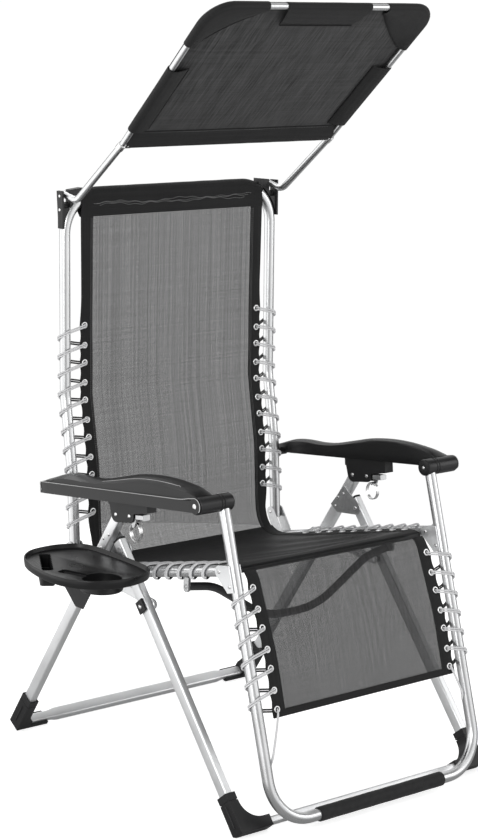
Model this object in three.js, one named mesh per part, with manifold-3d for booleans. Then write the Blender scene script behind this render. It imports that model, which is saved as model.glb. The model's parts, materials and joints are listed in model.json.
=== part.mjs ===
// Sun lounger with a canopy and a side tray.
// Millimetres, +Z up, the sitter faces -Y and the sitter's left is +X.
import * as THREE from "three";
import { mergeVertices } from "three/addons/utils/BufferGeometryUtils.js";
import Module from "manifold-3d";

const wasm = await Module();
wasm.setup();

// Sideways places of the three layers: frame tubes inside, legs and armrests outside them
const FRAME_X = 266.5;
const LEG_X = 309;
const ARM_X = 310.5;

// Clearances
const GAP = 0.3;
const TURN_GAP = 0.6;
const OVERRUN = 5;

const RIGHT_ANGLE = 90;

// Frame tubes
const TUBE_R = 11;
const TUBE_SIDES = 12;
const BEND_STEPS = 5;
const PIN_R = 4;

// Legs: rectangular tube, leaning from upright, and the height of each pivot on them
const LEG_WIDE = 25;
const LEG_THICK = 16;
const LEG_CORNER = 3.5;
const REAR_LEAN_ANGLE = 32.9;
const REAR_TREAD = 431;
const FRONT_LEAN_ANGLE = 39.7;
const SEAT_PIN_HEIGHT = 389;
const HINGE_ABOVE_PIN = 75;
const HINGE_HEIGHT = SEAT_PIN_HEIGHT + HINGE_ABOVE_PIN;
const HINGE_AHEAD = 57;
const LOCK_ABOVE_PIN = 145;
const LOCK_HEIGHT = SEAT_PIN_HEIGHT + LOCK_ABOVE_PIN;

// Seat, back and leg rest: a parallelogram of rail, armrest and two equal cranks
const ARM_RISE_ANGLE = 7.24;
const PIN_DROP = 41;
const KNEE_REACH = 368.4;
const HIP_REACH = 107.8;
const CRANK = 129.5;
const CRANK_LEAN_ANGLE = 2.4;
const LEG_REST_LEAN_ANGLE = 17.15;
const LEG_REST_EXTRA = 216;
const LEG_REST_LENGTH = SEAT_PIN_HEIGHT + LEG_REST_EXTRA;
const LEG_BEND_R = 85;
const BACK_LOW_LEAN_ANGLE = 4.8;
const BACK_MID_LEAN_ANGLE = 10.4;
const BACK_HIGH_LEAN_ANGLE = 1.9;
const BACK_LOW_RUN = 153;
const BACK_MID_RUN = 152;
const BACK_HEIGHT = 704;
const BACK_BEND_R = 80;
const LUMBAR_BEND_R = 90;

// Slings and their lacing
const CLOTH = 1.6;
const SLING_RISE = 8;
const SLING_HALF = 237;
const HEM_HALF = 215;
const EYELET_X = 225;
const EYELET_R = 3.9;
const EYELET_SIDES = 6;
const CORD_R = 2.2;
const CORD_SIDES = 5;
const CORD_GAP = 1.2;
const EYELET_PITCH = 38;
const BACK_EYELETS = 11;
const BACK_FIRST_EYELET = 58;
const SEAT_EYELETS = 9;
const SEAT_FIRST_EYELET = 28;
const LEG_EYELETS = 7;
const LEG_FIRST_EYELET = 168;
const SLING_TAIL = 14;
const SLING_CREASE = 75;
const SLING_KNEE = 42;
const SLING_PARTING = 12;

// Canopy
const CANOPY_X = 266;
const CANOPY_TUBE_R = 6.2;
const CANOPY_ARM_R = 7;
const CANOPY_LENGTH = 385;
const CANOPY_FLARE = 12;
const CANOPY_RISE_ANGLE = 44.4;
const CANOPY_ARM_RISE_ANGLE = 40.2;
const CANOPY_ARM_LENGTH = 191;
const CANOPY_NECK = 40.8;
const CANOPY_NECK_ANGLE = 11.3;
const CANOPY_CORNER_R = 50;
const CANOPY_PIVOT_HEIGHT = 704;

// Armrest
const ARM_HALF = 23.5;
const ARM_WALL = 3;
const ARM_DEPTH = 12;
const ARM_INNER_DEPTH = 2;
const ARM_SIDE_TOP = 10;
const ARM_CROWN = 44;
const BARREL_R = 16.5;

// Tray, on the sitter's right
const TRAY_ABOVE_PIN = 71;
const TRAY_TOP = SEAT_PIN_HEIGHT + TRAY_ABOVE_PIN;
const TRAY_X = -419;
const TRAY_AHEAD = 77.4;
const TRAY_HALF_WIDE = 97;
const TRAY_HALF_LONG = 138;
const TRAY_DEEP = 18;
const TRAY_WALL = 3;

const SIDES = [["left", 1], ["right", -1]];

const material = (color, roughness, metalness) => {
  return new THREE.MeshStandardMaterial({ color, roughness, metalness });
};
const aluminium = material(0xd4d5d6, 0.32, 1);
const steel = material(0xb9babc, 0.35, 1);
const darkSteel = material(0x3a3a3b, 0.5, 0.6);
const blackPlastic = material(0x2a2a2b, 0.55, 0);
const armPlastic = material(0x3c3c3d, 0.45, 0);
const trayPlastic = material(0x303031, 0.5, 0);
const backMesh = material(0x6f7071, 0.9, 0);
const seatMesh = material(0x2b2b2c, 0.85, 0);
const canopyMesh = material(0x47484a, 0.85, 0);
const cordRubber = material(0xd2d3d4, 0.6, 0);
const foam = material(0x2e2e2f, 0.9, 0);

const lounger = new THREE.Group();

function add(name, geometry, finish) {
  const mesh = new THREE.Mesh(geometry, finish);
  mesh.name = name;
  lounger.add(mesh);
  return mesh;
}

// Both sides of a piece drawn on the sitter's left; the right one is its mirror image
function addPair(name, geometry, finish) {
  for (const [side, sign] of SIDES) {
    add(`${name}_${side}`, geometry, finish).scale.x = sign;
  }
}

// Solids: closed meshes to and from the boolean library
function toSolid(geometry) {
  const bare = geometry.clone();
  bare.deleteAttribute("normal");
  bare.deleteAttribute("uv");
  const merged = mergeVertices(bare);
  return new wasm.Manifold(new wasm.Mesh({
    numProp: 3,
    vertProperties: new Float32Array(merged.attributes.position.array),
    triVerts: new Uint32Array(merged.index.array),
  }));
}

function toGeometry(solid) {
  const mesh = solid.getMesh();
  const geometry = new THREE.BufferGeometry();
  geometry.setAttribute("position", new THREE.BufferAttribute(mesh.vertProperties, mesh.numProp));
  geometry.setIndex(new THREE.BufferAttribute(mesh.triVerts, 1));
  return geometry;
}

function join(...pieces) {
  return toGeometry(pieces.map(toSolid).reduce((whole, piece) => whole.add(piece)));
}

function cut(piece, ...tools) {
  return toGeometry(tools.map(toSolid).reduce((whole, tool) => whole.subtract(tool), toSolid(piece)));
}

// Directions in the side plane, leaning back (+Y) from upright by an angle in degrees
function leaning(degrees) {
  const angle = THREE.MathUtils.degToRad(degrees);
  return new THREE.Vector3(0, Math.sin(angle), Math.cos(angle));
}

function side(y, z, x = 0) {
  return new THREE.Vector3(x, y, z);
}

const acrossX = new THREE.Vector3(1, 0, 0);
const square = (direction) => acrossX.clone().cross(direction);
const along = (from, direction, distance) => from.clone().addScaledVector(direction, distance);
const atX = (point, x) => new THREE.Vector3(x, point.y, point.z);

function placed(geometry, origin, xDirection, yDirection) {
  const zDirection = xDirection.clone().cross(yDirection);
  const matrix = new THREE.Matrix4().makeBasis(xDirection, yDirection, zDirection);
  return geometry.applyMatrix4(matrix.setPosition(origin));
}

function extruded(shape, depth, curveSegments = 4) {
  return new THREE.ExtrudeGeometry(shape, { depth, bevelEnabled: false, steps: 1, curveSegments });
}

// A slab whose outline is drawn in the side plane (y, z), from one X to another
function sideSlab(shape, low, high, curveSegments) {
  const geometry = extruded(shape, high - low, curveSegments);
  return placed(geometry, side(0, 0, low), side(1, 0), side(0, 1));
}

function roundedRectangle(wide, tall, corner) {
  const [x, y, r] = [wide / 2, tall / 2, corner];
  const shape = new THREE.Shape();
  shape.absarc(x - r, y - r, r, 0, Math.PI / 2);
  shape.absarc(r - x, y - r, r, Math.PI / 2, Math.PI);
  shape.absarc(r - x, r - y, r, Math.PI, 1.5 * Math.PI);
  shape.absarc(x - r, r - y, r, 1.5 * Math.PI, 2 * Math.PI);
  return shape;
}

function circle(radius, sides) {
  const corners = [];
  for (let i = 0; i < sides; i++) {
    const angle = (2 * Math.PI * i) / sides;
    corners.push(new THREE.Vector2(radius * Math.cos(angle), radius * Math.sin(angle)));
  }
  return new THREE.Shape(corners);
}

// A rectangular tube between two points of the side plane; wide lies in that plane, thick along X
function legBar(from, to, wide, thick, corner = LEG_CORNER) {
  const direction = to.clone().sub(from);
  const geometry = extruded(roundedRectangle(thick, wide, corner), direction.length(), 2);
  const up = direction.normalize();
  return placed(geometry, from, acrossX, up.clone().cross(acrossX));
}

// A curve that passes straight through given points, so that a swept tube has a ring at each
class Route extends THREE.Curve {
  constructor(points) {
    super();
    this.points = points;
  }
  getPoint(t) {
    const place = t * (this.points.length - 1);
    const i = Math.min(Math.floor(place), this.points.length - 2);
    return this.points[i].clone().lerp(this.points[i + 1], place - i);
  }
  getPointAt(u) {
    return this.getPoint(u);
  }
  getSpacedPoints() {
    return this.points;
  }
  getTangentAt(u) {
    const i = Math.round(u * (this.points.length - 1));
    const before = this.points[Math.max(i - 1, 0)];
    const after = this.points[Math.min(i + 1, this.points.length - 1)];
    const here = this.points[i];
    const arriving = here.clone().sub(before).normalize();
    const leaving = after.clone().sub(here).normalize();
    return arriving.add(leaving).normalize();
  }
}

function sweep(points, radius, sides = TUBE_SIDES) {
  const settings = { steps: points.length - 1, extrudePath: new Route(points), bevelEnabled: false };
  return new THREE.ExtrudeGeometry(circle(radius, sides), settings);
}

function rod(from, to, radius, sides = TUBE_SIDES) {
  return sweep([from, to], radius, sides);
}

// A rod along X at a point of the side plane
function crossRod(point, low, high, radius, sides = TUBE_SIDES) {
  return rod(atX(point, low), atX(point, high), radius, sides);
}

// Replaces each inner corner of a path by an arc, as a tube bender does
function bent(corners, radii, steps) {
  const points = [corners[0]];
  for (let i = 1; i < corners.length - 1; i++) {
    const into = corners[i].clone().sub(corners[i - 1]).normalize();
    const out = corners[i + 1].clone().sub(corners[i]).normalize();
    const turn = into.angleTo(out);
    const reach = radii[i - 1] * Math.tan(turn / 2);
    const start = along(corners[i], into, -reach);
    const inward = out.clone().addScaledVector(into, -out.dot(into)).normalize();
    const centre = along(start, inward, radii[i - 1]);
    const count = Math.max(Math.round((steps * turn) / (Math.PI / 2)), 2);
    for (let k = 0; k <= count; k++) {
      const angle = (turn * k) / count;
      const arm = inward.clone().multiplyScalar(-Math.cos(angle)).addScaledVector(into, Math.sin(angle));
      points.push(along(centre, arm, radii[i - 1]));
    }
  }
  points.push(corners[corners.length - 1]);
  return points;
}

// A solid through a row of rings that all have the same number of points
function loft(rings) {
  const count = rings[0].length;
  const positions = rings.flat().flatMap((point) => [point.x, point.y, point.z]);
  const index = [];
  for (let i = 0; i < rings.length - 1; i++) {
    for (let k = 0; k < count; k++) {
      const [a, b] = [i * count + k, i * count + ((k + 1) % count)];
      index.push(a, b, b + count, a, b + count, a + count);
    }
  }
  const flat = (ring) => THREE.ShapeUtils.triangulateShape(ring, []);
  const last = (rings.length - 1) * count;
  for (const [a, b, c] of flat(rings[0].map((point) => point.outline))) {
    index.push(c, b, a);
  }
  for (const [a, b, c] of flat(rings[rings.length - 1].map((point) => point.outline))) {
    index.push(last + a, last + b, last + c);
  }
  const geometry = new THREE.BufferGeometry();
  geometry.setAttribute("position", new THREE.Float32BufferAttribute(positions, 3));
  geometry.setIndex(index);
  return geometry;
}

// One ring of a loft: an outline of (u, v) pairs laid on two directions at an origin
function ring(outline, origin, uDirection, vDirection) {
  return outline.map(([u, v]) => {
    const point = along(along(origin, uDirection, u), vDirection, v);
    point.outline = new THREE.Vector2(u, v);
    return point;
  });
}

// The skeleton: leg lines and pivots in the side plane
const rearUp = leaning(-REAR_LEAN_ANGLE);
const frontUp = leaning(FRONT_LEAN_ANGLE);
const onRearLeg = (height) => along(side(REAR_TREAD, 0), rearUp, height / rearUp.z);
const seatPin = onRearLeg(SEAT_PIN_HEIGHT);
const lockPivot = onRearLeg(LOCK_HEIGHT);
const legHinge = side(onRearLeg(HINGE_HEIGHT).y - HINGE_AHEAD, HINGE_HEIGHT);
const onFrontLeg = (height) => along(legHinge, frontUp, (height - HINGE_HEIGHT) / frontUp.z);
const armForward = leaning(ARM_RISE_ANGLE - RIGHT_ANGLE);
const armNormal = leaning(ARM_RISE_ANGLE);
const pinLine = along(seatPin, armNormal, PIN_DROP);
const kneePivot = along(pinLine, armForward, KNEE_REACH);
const hipPivot = along(pinLine, armForward, -HIP_REACH);
const crankUp = leaning(ARM_RISE_ANGLE - CRANK_LEAN_ANGLE);
const armFront = along(kneePivot, crankUp, CRANK);
const armRear = along(hipPivot, crankUp, CRANK);
const ARM_LENGTH = KNEE_REACH + HIP_REACH;

const railBack = seatPin.clone().sub(kneePivot).normalize();
const railUp = square(railBack);
const onRail = (distance, rise = 0) => along(along(kneePivot, railBack, distance), railUp, rise);
const RAIL_PIN = seatPin.distanceTo(kneePivot);

const legDown = leaning(LEG_REST_LEAN_ANGLE).negate();
const legFront = square(legDown).negate();
const onLegRest = (distance, rise = 0) => along(along(armFront, legDown, distance), legFront, rise);

// Rear and front legs with their feet and cross tubes
const FOOT_WALL = 3;
const FOOT_RISE = 75;
const FOOT_REACH = 66;
const FOOT_ROUND = 6;
const SOLE_CUT = 3;
const REAR_FILLET = 20;
const FRONT_FILLET = 40;
const CROSS_SHOULDER = 92;
const SWAGE_WIDE_SHARE = 0.8;
const SWAGE_THICK_SHARE = 0.7;
const SWAGE_LENGTH = 20;
const CROSS_END = 10;
const FRONT_CROSS_WIDE = 22;
const FRONT_CROSS_THICK = 14;
const LEG_TOP = 12;
const FRONT_LEG_TOP = 20;
const RIB_WIDE = 3;
const RIB_TALL = 1.2;
const RIB_LONG = 40;
const FOOT_HALF = LEG_WIDE / 2 + FOOT_WALL;
const FOOT_DEEP = LEG_THICK / 2 + FOOT_WALL;
const CROSS_RISE = FOOT_WALL + LEG_THICK / 2;
const FLOOR_CUT = 60;

function footEnd(onLeg, lean) {
  const angle = THREE.MathUtils.degToRad(lean);
  return onLeg(FOOT_HALF * Math.sin(angle) - SOLE_CUT);
}

const rearEnd = footEnd(onRearLeg, REAR_LEAN_ANGLE);
const frontEnd = footEnd(onFrontLeg, FRONT_LEAN_ANGLE);

// The cross tube's section lies square to the leg, its ends drawn down where they enter the feet
function crossTube(end, up, wide, thick, wideShare, thickShare) {
  const centre = along(end, up, CROSS_RISE);
  const half = LEG_X - CROSS_END;
  const shoulder = LEG_X - CROSS_SHOULDER;
  const stations = [
    [-half, wideShare, thickShare],
    [-shoulder - SWAGE_LENGTH, wideShare, thickShare],
    [-shoulder, 1, 1],
    [shoulder, 1, 1],
    [shoulder + SWAGE_LENGTH, wideShare, thickShare],
    [half, wideShare, thickShare],
  ];
  const corners = roundedRectangle(wide, thick, LEG_CORNER).getPoints(2).slice(0, -1);
  const rings = stations.map(([x, a, b]) => {
    const outline = corners.map((corner) => [corner.x * a, corner.y * b]);
    return ring(outline, atX(centre, x), square(up), up);
  });
  return loft(rings.reverse());
}

function foot(end, up, fillet, crossWide, crossThick, lip) {
  const outline = new THREE.Shape();
  outline.moveTo(-FOOT_DEEP, FOOT_RISE);
  outline.lineTo(-FOOT_DEEP, FOOT_ROUND);
  outline.absarc(FOOT_ROUND - FOOT_DEEP, FOOT_ROUND, FOOT_ROUND, Math.PI, 1.5 * Math.PI);
  outline.lineTo(FOOT_REACH, 0);
  outline.lineTo(FOOT_REACH, 2 * FOOT_DEEP);
  outline.absarc(FOOT_DEEP + fillet, 2 * FOOT_DEEP + fillet, fillet, 1.5 * Math.PI, Math.PI, true);
  outline.lineTo(FOOT_DEEP, FOOT_RISE);
  const inward = acrossX.clone().negate();
  const across = inward.clone().cross(up);
  const corner = along(atX(end, LEG_X), across, -FOOT_HALF);
  const block = placed(extruded(outline, 2 * FOOT_HALF, 5), corner, inward, up);
  const leg = legBar(atX(along(end, up, 2 * CROSS_RISE), LEG_X), atX(along(end, up, FOOT_RISE * 2), LEG_X),
    LEG_WIDE + 2 * GAP, LEG_THICK + 2 * GAP);
  const socket = extruded(roundedRectangle(crossWide + 2 * GAP, crossThick + 2 * GAP, LEG_CORNER),
    FOOT_REACH - CROSS_END + GAP + OVERRUN, 2);
  const socketStart = atX(along(end, up, CROSS_RISE), LEG_X - CROSS_END + GAP);
  placed(socket, socketStart, square(up), up);
  const under = new THREE.BoxGeometry(4 * FOOT_REACH, 4 * FOOT_REACH, FLOOR_CUT);
  under.translate(LEG_X, end.y, -FLOOR_CUT / 2);
  const rib = new THREE.BoxGeometry(2 * RIB_TALL, RIB_WIDE, RIB_LONG);
  const ribMiddle = atX(along(end, up, FOOT_RISE / 2), LEG_X + FOOT_DEEP);
  placed(rib, ribMiddle, acrossX, up.clone().cross(acrossX));
  const open = lipCut(end, up, lip);
  return cut(join(block, rib), leg, socket, under, open);
}

// Leaves only the sleeve's lower lip under the cross tube beyond a given reach
function lipCut(end, up, lip) {
  const middle = along(end, up, CROSS_RISE + FOOT_DEEP * 2);
  const box = new THREE.BoxGeometry(FOOT_REACH, 4 * FOOT_HALF, FOOT_DEEP * 4);
  const place = atX(middle, LEG_X - lip - FOOT_REACH / 2);
  return placed(box, place, acrossX, up.clone().cross(acrossX));
}

function legs() {
  const rearTop = along(lockPivot, rearUp, LEG_TOP);
  const rearSeat = along(rearEnd, rearUp, 2 * CROSS_RISE + GAP);
  const lockHole = crossRod(lockPivot, LEG_X - LEG_THICK, LEG_X + LEG_THICK, PIN_R + GAP);
  const rear = cut(legBar(atX(rearSeat, LEG_X), atX(rearTop, LEG_X), LEG_WIDE, LEG_THICK), lockHole);
  addPair("rear_leg", rear, aluminium);
  const frontTop = along(legHinge, frontUp, FRONT_LEG_TOP);
  const frontSeat = along(frontEnd, frontUp, 2 * CROSS_RISE + GAP);
  const hingeHole = crossRod(legHinge, LEG_X - LEG_THICK, LEG_X + LEG_THICK, PIN_R + GAP);
  const front = cut(legBar(atX(frontSeat, LEG_X), atX(frontTop, LEG_X), LEG_WIDE, LEG_THICK), hingeHole);
  addPair("front_leg", front, aluminium);
  const swageWide = LEG_WIDE * SWAGE_WIDE_SHARE;
  const swageThick = LEG_THICK * SWAGE_THICK_SHARE;
  add("rear_cross_tube", crossTube(rearEnd, rearUp, LEG_WIDE, LEG_THICK, SWAGE_WIDE_SHARE,
    SWAGE_THICK_SHARE), aluminium);
  add("front_cross_tube", crossTube(frontEnd, frontUp, FRONT_CROSS_WIDE, FRONT_CROSS_THICK, 1, 1),
    aluminium);
  const rearLip = FOOT_DEEP + REAR_FILLET / 2;
  addPair("rear_foot", foot(rearEnd, rearUp, REAR_FILLET, swageWide, swageThick, rearLip), blackPlastic);
  addPair("front_foot", foot(frontEnd, frontUp, FRONT_FILLET, FRONT_CROSS_WIDE, FRONT_CROSS_THICK,
    FOOT_REACH), blackPlastic);
  const plugFoot = along(frontTop, frontUp, GAP);
  const plug = legBar(atX(plugFoot, LEG_X), atX(along(plugFoot, frontUp, PLUG_TALL), LEG_X),
    LEG_WIDE, LEG_THICK);
  addPair("leg_end_plug", plug, blackPlastic);
}

// Hinge plates on the rear legs, which carry the front legs' pivots, and the pins that carry the seat
const PLUG_TALL = 4;
const PLATE = 2.5;
const HINGE_LOBE_R = 14;
const HINGE_UP = 44;
const HINGE_DOWN = 16;
const PIN_HEAD_R = 8;
const PIN_HEAD = 2;
const LEG_INNER = LEG_X - LEG_THICK / 2;
const LEG_OUTER = LEG_X + LEG_THICK / 2;

function hingePlate() {
  const legUp = along(onRearLeg(HINGE_HEIGHT), rearUp, HINGE_UP);
  const legLow = along(onRearLeg(HINGE_HEIGHT), rearUp, -HINGE_DOWN);
  const frontEdge = square(rearUp);
  const corners = [
    along(legUp, frontEdge, LEG_WIDE / 2),
    along(legUp, frontEdge, -LEG_WIDE / 4),
    along(legLow, frontEdge, -LEG_WIDE / 2),
    along(legLow, frontEdge, LEG_WIDE / 2),
  ];
  const shape = hullWithLobe(corners, legHinge, HINGE_LOBE_R);
  const high = LEG_INNER - GAP;
  const plate = sideSlab(shape, high - PLATE, high);
  const pin = crossRod(legHinge, high - PLATE / 2, LEG_OUTER + TURN_GAP + PIN_HEAD, PIN_R);
  const head = crossRod(legHinge, LEG_OUTER + TURN_GAP, LEG_OUTER + TURN_GAP + PIN_HEAD, PIN_HEAD_R);
  return join(plate, pin, head);
}

// The outline round some corners and a round lobe: the convex hull of them all
function hullWithLobe(corners, centre, radius, others = []) {
  const points = corners.map((corner) => new THREE.Vector2(corner.y, corner.z));
  for (const [middle, r] of [[centre, radius], ...others]) {
    for (const spot of circle(r, LOBE_SIDES).getPoints()) {
      points.push(new THREE.Vector2(middle.y + spot.x, middle.z + spot.y));
    }
  }
  points.sort((a, b) => a.x - b.x || a.y - b.y);
  const turn = (o, a, b) => (a.x - o.x) * (b.y - o.y) - (a.y - o.y) * (b.x - o.x);
  const half = (list) => {
    const chain = [];
    for (const point of list) {
      while (chain.length > 1 && turn(chain[chain.length - 2], chain[chain.length - 1], point) <= 0) {
        chain.pop();
      }
      chain.push(point);
    }
    return chain.slice(0, -1);
  };
  return new THREE.Shape([...half(points), ...half([...points].reverse())]);
}
const LOBE_SIDES = 16;

const SEAT_PIN_FLANGE_R = 9;
const SEAT_PIN_HEAD = 2.5;

function seatPinPiece() {
  const high = LEG_INNER - GAP;
  const inner = FRAME_X - TUBE_R - TURN_GAP;
  const stem = crossRod(seatPin, inner - SEAT_PIN_HEAD, high, PIN_R);
  const flange = crossRod(seatPin, high - PLATE, high, SEAT_PIN_FLANGE_R);
  const head = crossRod(seatPin, inner - SEAT_PIN_HEAD, inner, PIN_HEAD_R);
  return join(stem, flange, head);
}

// Slotted stays between the front legs and the seat pins
const STAY_DROP = 118;
const STAY_BACK = 4;
const STAY_WIDE = 19;
const STAY_THICK = 3;
const STAY_INSET = 7.7;
const STAY_HIGH = LEG_INNER - GAP - PLATE - STAY_INSET;
const STAY_SLACK = 1.7;
const STAY_END = 11;
const FOLD_ANGLE = 45;
const BUSH_R = 12.5;
const BUSH_WALL = 3;
const BUSH_WEB = 3.5;
const stayPivot = along(along(legHinge, frontUp, -STAY_DROP), square(frontUp), -STAY_BACK);
const stayReach = seatPin.distanceTo(stayPivot);

function foldedReach() {
  const arm = stayPivot.clone().sub(legHinge);
  arm.applyAxisAngle(acrossX, THREE.MathUtils.degToRad(FOLD_ANGLE));
  return seatPin.distanceTo(legHinge.clone().add(arm));
}

function stay() {
  const direction = seatPin.clone().sub(stayPivot).normalize();
  const outline = new THREE.Shape();
  const half = STAY_WIDE / 2;
  outline.absarc(0, 0, half, Math.PI / 2, 1.5 * Math.PI);
  outline.absarc(stayReach + STAY_END, 0, half, -Math.PI / 2, Math.PI / 2);
  const slot = new THREE.Path();
  const slotR = PIN_R + STAY_SLACK;
  slot.absarc(foldedReach(), 0, slotR, Math.PI / 2, 1.5 * Math.PI);
  slot.absarc(stayReach, 0, slotR, -Math.PI / 2, Math.PI / 2);
  const hole = new THREE.Path();
  hole.absarc(0, 0, PIN_R + GAP, 0, 2 * Math.PI);
  outline.holes.push(slot, hole);
  const geometry = extruded(outline, STAY_THICK, 5);
  return placed(geometry, atX(stayPivot, STAY_HIGH - STAY_THICK), direction, square(direction));
}

function stayBushing() {
  const outer = crossRod(stayPivot, LEG_OUTER + GAP, LEG_OUTER + GAP + BUSH_WALL, BUSH_R, LOBE_SIDES);
  const innerLow = STAY_HIGH + TURN_GAP;
  const inner = crossRod(stayPivot, innerLow, LEG_INNER - GAP, BUSH_R, LOBE_SIDES);
  const back = square(frontUp).negate();
  const webWide = BUSH_R + STAY_BACK;
  const webMiddle = along(along(stayPivot, back, -STAY_BACK), back, LEG_WIDE / 2 + GAP + BUSH_WEB / 2);
  const web = legBar(
    atX(along(webMiddle, frontUp, -webWide / 2), (innerLow + LEG_OUTER + GAP + BUSH_WALL) / 2),
    atX(along(webMiddle, frontUp, webWide / 2), (innerLow + LEG_OUTER + GAP + BUSH_WALL) / 2),
    BUSH_WEB, LEG_OUTER + GAP + BUSH_WALL - innerLow, BUSH_WEB / 4);
  const pin = crossRod(stayPivot, STAY_HIGH - STAY_THICK - TURN_GAP, LEG_INNER - GAP, PIN_R);
  return join(outer, inner, web, pin);
}

// Seat rails, their rear end plates, and the two cross bars
const RAIL_NOSE = 10;
const RAIL_TAIL = 84;
const END_PLATE_R = 11.5;
const END_PLATE_BLOCK = 12;
const SIDE_PLATE = 2.2;
const BACK_TAIL = 12;

function seatRail() {
  const tube = rod(atX(onRail(-RAIL_NOSE), FRAME_X), atX(onRail(RAIL_PIN + RAIL_TAIL), FRAME_X), TUBE_R);
  const kneeHole = crossRod(kneePivot, FRAME_X - 2 * TUBE_R, FRAME_X + 2 * TUBE_R, PIN_R + GAP);
  const pinHole = crossRod(seatPin, FRAME_X - 2 * TUBE_R, FRAME_X + 2 * TUBE_R, PIN_R + GAP);
  return cut(tube, kneeHole, pinHole);
}

function railEndPlate() {
  const tail = RAIL_PIN + RAIL_TAIL;
  const reach = TUBE_R;
  const corners = [
    onRail(tail - reach, TUBE_R),
    onRail(tail - reach, -TUBE_R),
    onRail(tail + END_PLATE_BLOCK, -TUBE_R),
    onRail(tail + END_PLATE_BLOCK, 0),
  ];
  const shape = hullWithLobe(corners, hipPivot, END_PLATE_R);
  const inside = TUBE_R + TURN_GAP;
  const outer = sideSlab(shape, FRAME_X + inside, FRAME_X + inside + SIDE_PLATE);
  const inner = sideSlab(shape, FRAME_X - inside - SIDE_PLATE, FRAME_X - inside);
  const block = new THREE.Shape([
    onRail(tail + GAP, TUBE_R / 2), onRail(tail + GAP, -TUBE_R),
    onRail(tail + END_PLATE_BLOCK, -TUBE_R), onRail(tail + END_PLATE_BLOCK, 0),
  ].map((corner) => new THREE.Vector2(corner.y, corner.z)));
  const overlap = SIDE_PLATE / 2;
  const web = sideSlab(block, FRAME_X - inside - overlap, FRAME_X + inside + overlap);
  const pin = crossRod(hipPivot, FRAME_X - inside - overlap, FRAME_X + inside + overlap, PIN_R);
  return join(outer, inner, web, pin);
}

const FRONT_BAR_R = 6.5;
const FRONT_BAR_PLACE = 24;
const FRONT_BAR_DROP = 6.5;
const CURVED_BAR_R = 8;
const CURVED_BAR_PLACE = 113;
const CURVED_BAR_END_DROP = 30;
const CURVED_BAR_SAG = 90;
const CURVED_BAR_FLAT = 52;
const CURVED_BAR_KNEE_X = 190;
const CURVED_BAR_KNEE_DROP = 17;
const CURVED_BAR_BEND_R = 60;
const TAB_WIDE = 15;
const TAB_THICK = 6;
const TAB_DEEP = 11;

function seatFrontBar() {
  const place = onRail(FRONT_BAR_PLACE, -FRONT_BAR_DROP);
  const reach = FRAME_X - Math.sqrt(TUBE_R ** 2 - (FRONT_BAR_DROP / 2) ** 2) - TURN_GAP;
  return crossRod(place, -reach, reach, FRONT_BAR_R);
}

function curvedCrossBar() {
  const end = along(onRail(CURVED_BAR_PLACE), side(0, -1), CURVED_BAR_END_DROP);
  const tabX = FRAME_X - TAB_THICK / 2;
  const knee = along(end, side(0, -1), CURVED_BAR_KNEE_DROP);
  const low = along(end, side(0, -1), CURVED_BAR_SAG);
  const corners = [
    atX(end, -tabX), atX(knee, -CURVED_BAR_KNEE_X), atX(low, -CURVED_BAR_FLAT),
    atX(low, CURVED_BAR_FLAT), atX(knee, CURVED_BAR_KNEE_X), atX(end, tabX),
  ];
  const r = CURVED_BAR_BEND_R;
  const bar = sweep(bent(corners, [r, r, r, r], 6), CURVED_BAR_R);
  const railUnder = along(onRail(CURVED_BAR_PLACE), side(0, -1), TUBE_R + GAP);
  const rise = railUnder.z - end.z;
  const tabs = [-1, 1].map((sign) => {
    const box = new THREE.BoxGeometry(TAB_THICK, TAB_WIDE, rise + TAB_DEEP);
    return box.translate(sign * FRAME_X, end.y, end.z + (rise - TAB_DEEP) / 2);
  });
  const rails = [-1, 1].map((sign) => rod(atX(onRail(0), sign * FRAME_X),
    atX(onRail(RAIL_PIN), sign * FRAME_X), TUBE_R + GAP));
  return cut(join(bar, ...tabs), ...rails);
}

// Back frame: one tube, bent at the hips, the waist and the two top corners
const backPath = backCentreLine();

function backCentreLine() {
  const tail = along(hipPivot, leaning(BACK_LOW_LEAN_ANGLE), -BACK_TAIL);
  const low = along(hipPivot, leaning(BACK_LOW_LEAN_ANGLE), BACK_LOW_RUN);
  const middle = along(low, leaning(BACK_MID_LEAN_ANGLE), BACK_MID_RUN);
  const high = leaning(BACK_HIGH_LEAN_ANGLE);
  const top = along(middle, high, (BACK_HEIGHT - (middle.z - hipPivot.z)) / high.z);
  return [tail, low, middle, top];
}

function backFrame() {
  const [tail, low, middle, top] = backPath;
  const left = [tail, low, middle, top].map((point) => atX(point, FRAME_X));
  const right = [tail, low, middle, top].map((point) => atX(point, -FRAME_X)).reverse();
  const radii = [LUMBAR_BEND_R, LUMBAR_BEND_R, BACK_BEND_R, BACK_BEND_R, LUMBAR_BEND_R, LUMBAR_BEND_R];
  const tube = sweep(bent([...left, ...right], radii, BEND_STEPS), TUBE_R);
  const holes = [-1, 1].map((sign) => {
    const [from, to] = [FRAME_X - 2 * TUBE_R, FRAME_X + 2 * TUBE_R];
    return crossRod(hipPivot, sign * from, sign * to, PIN_R + GAP);
  });
  return cut(tube, ...holes);
}

// Leg rest frame: one tube from armrest to armrest, with a foam grip on its foot bar
const FOAM_R = 14;
const FOAM_HALF = 161;
const FOAM_SIDES = 16;
const BARREL_SEAT = 8;

function legFrame() {
  const top = onLegRest(BARREL_SEAT);
  const low = onLegRest(LEG_REST_LENGTH);
  const corners = [atX(top, -FRAME_X), atX(low, -FRAME_X), atX(low, FRAME_X), atX(top, FRAME_X)];
  return sweep(bent(corners, [LEG_BEND_R, LEG_BEND_R], 6), TUBE_R);
}

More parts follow.
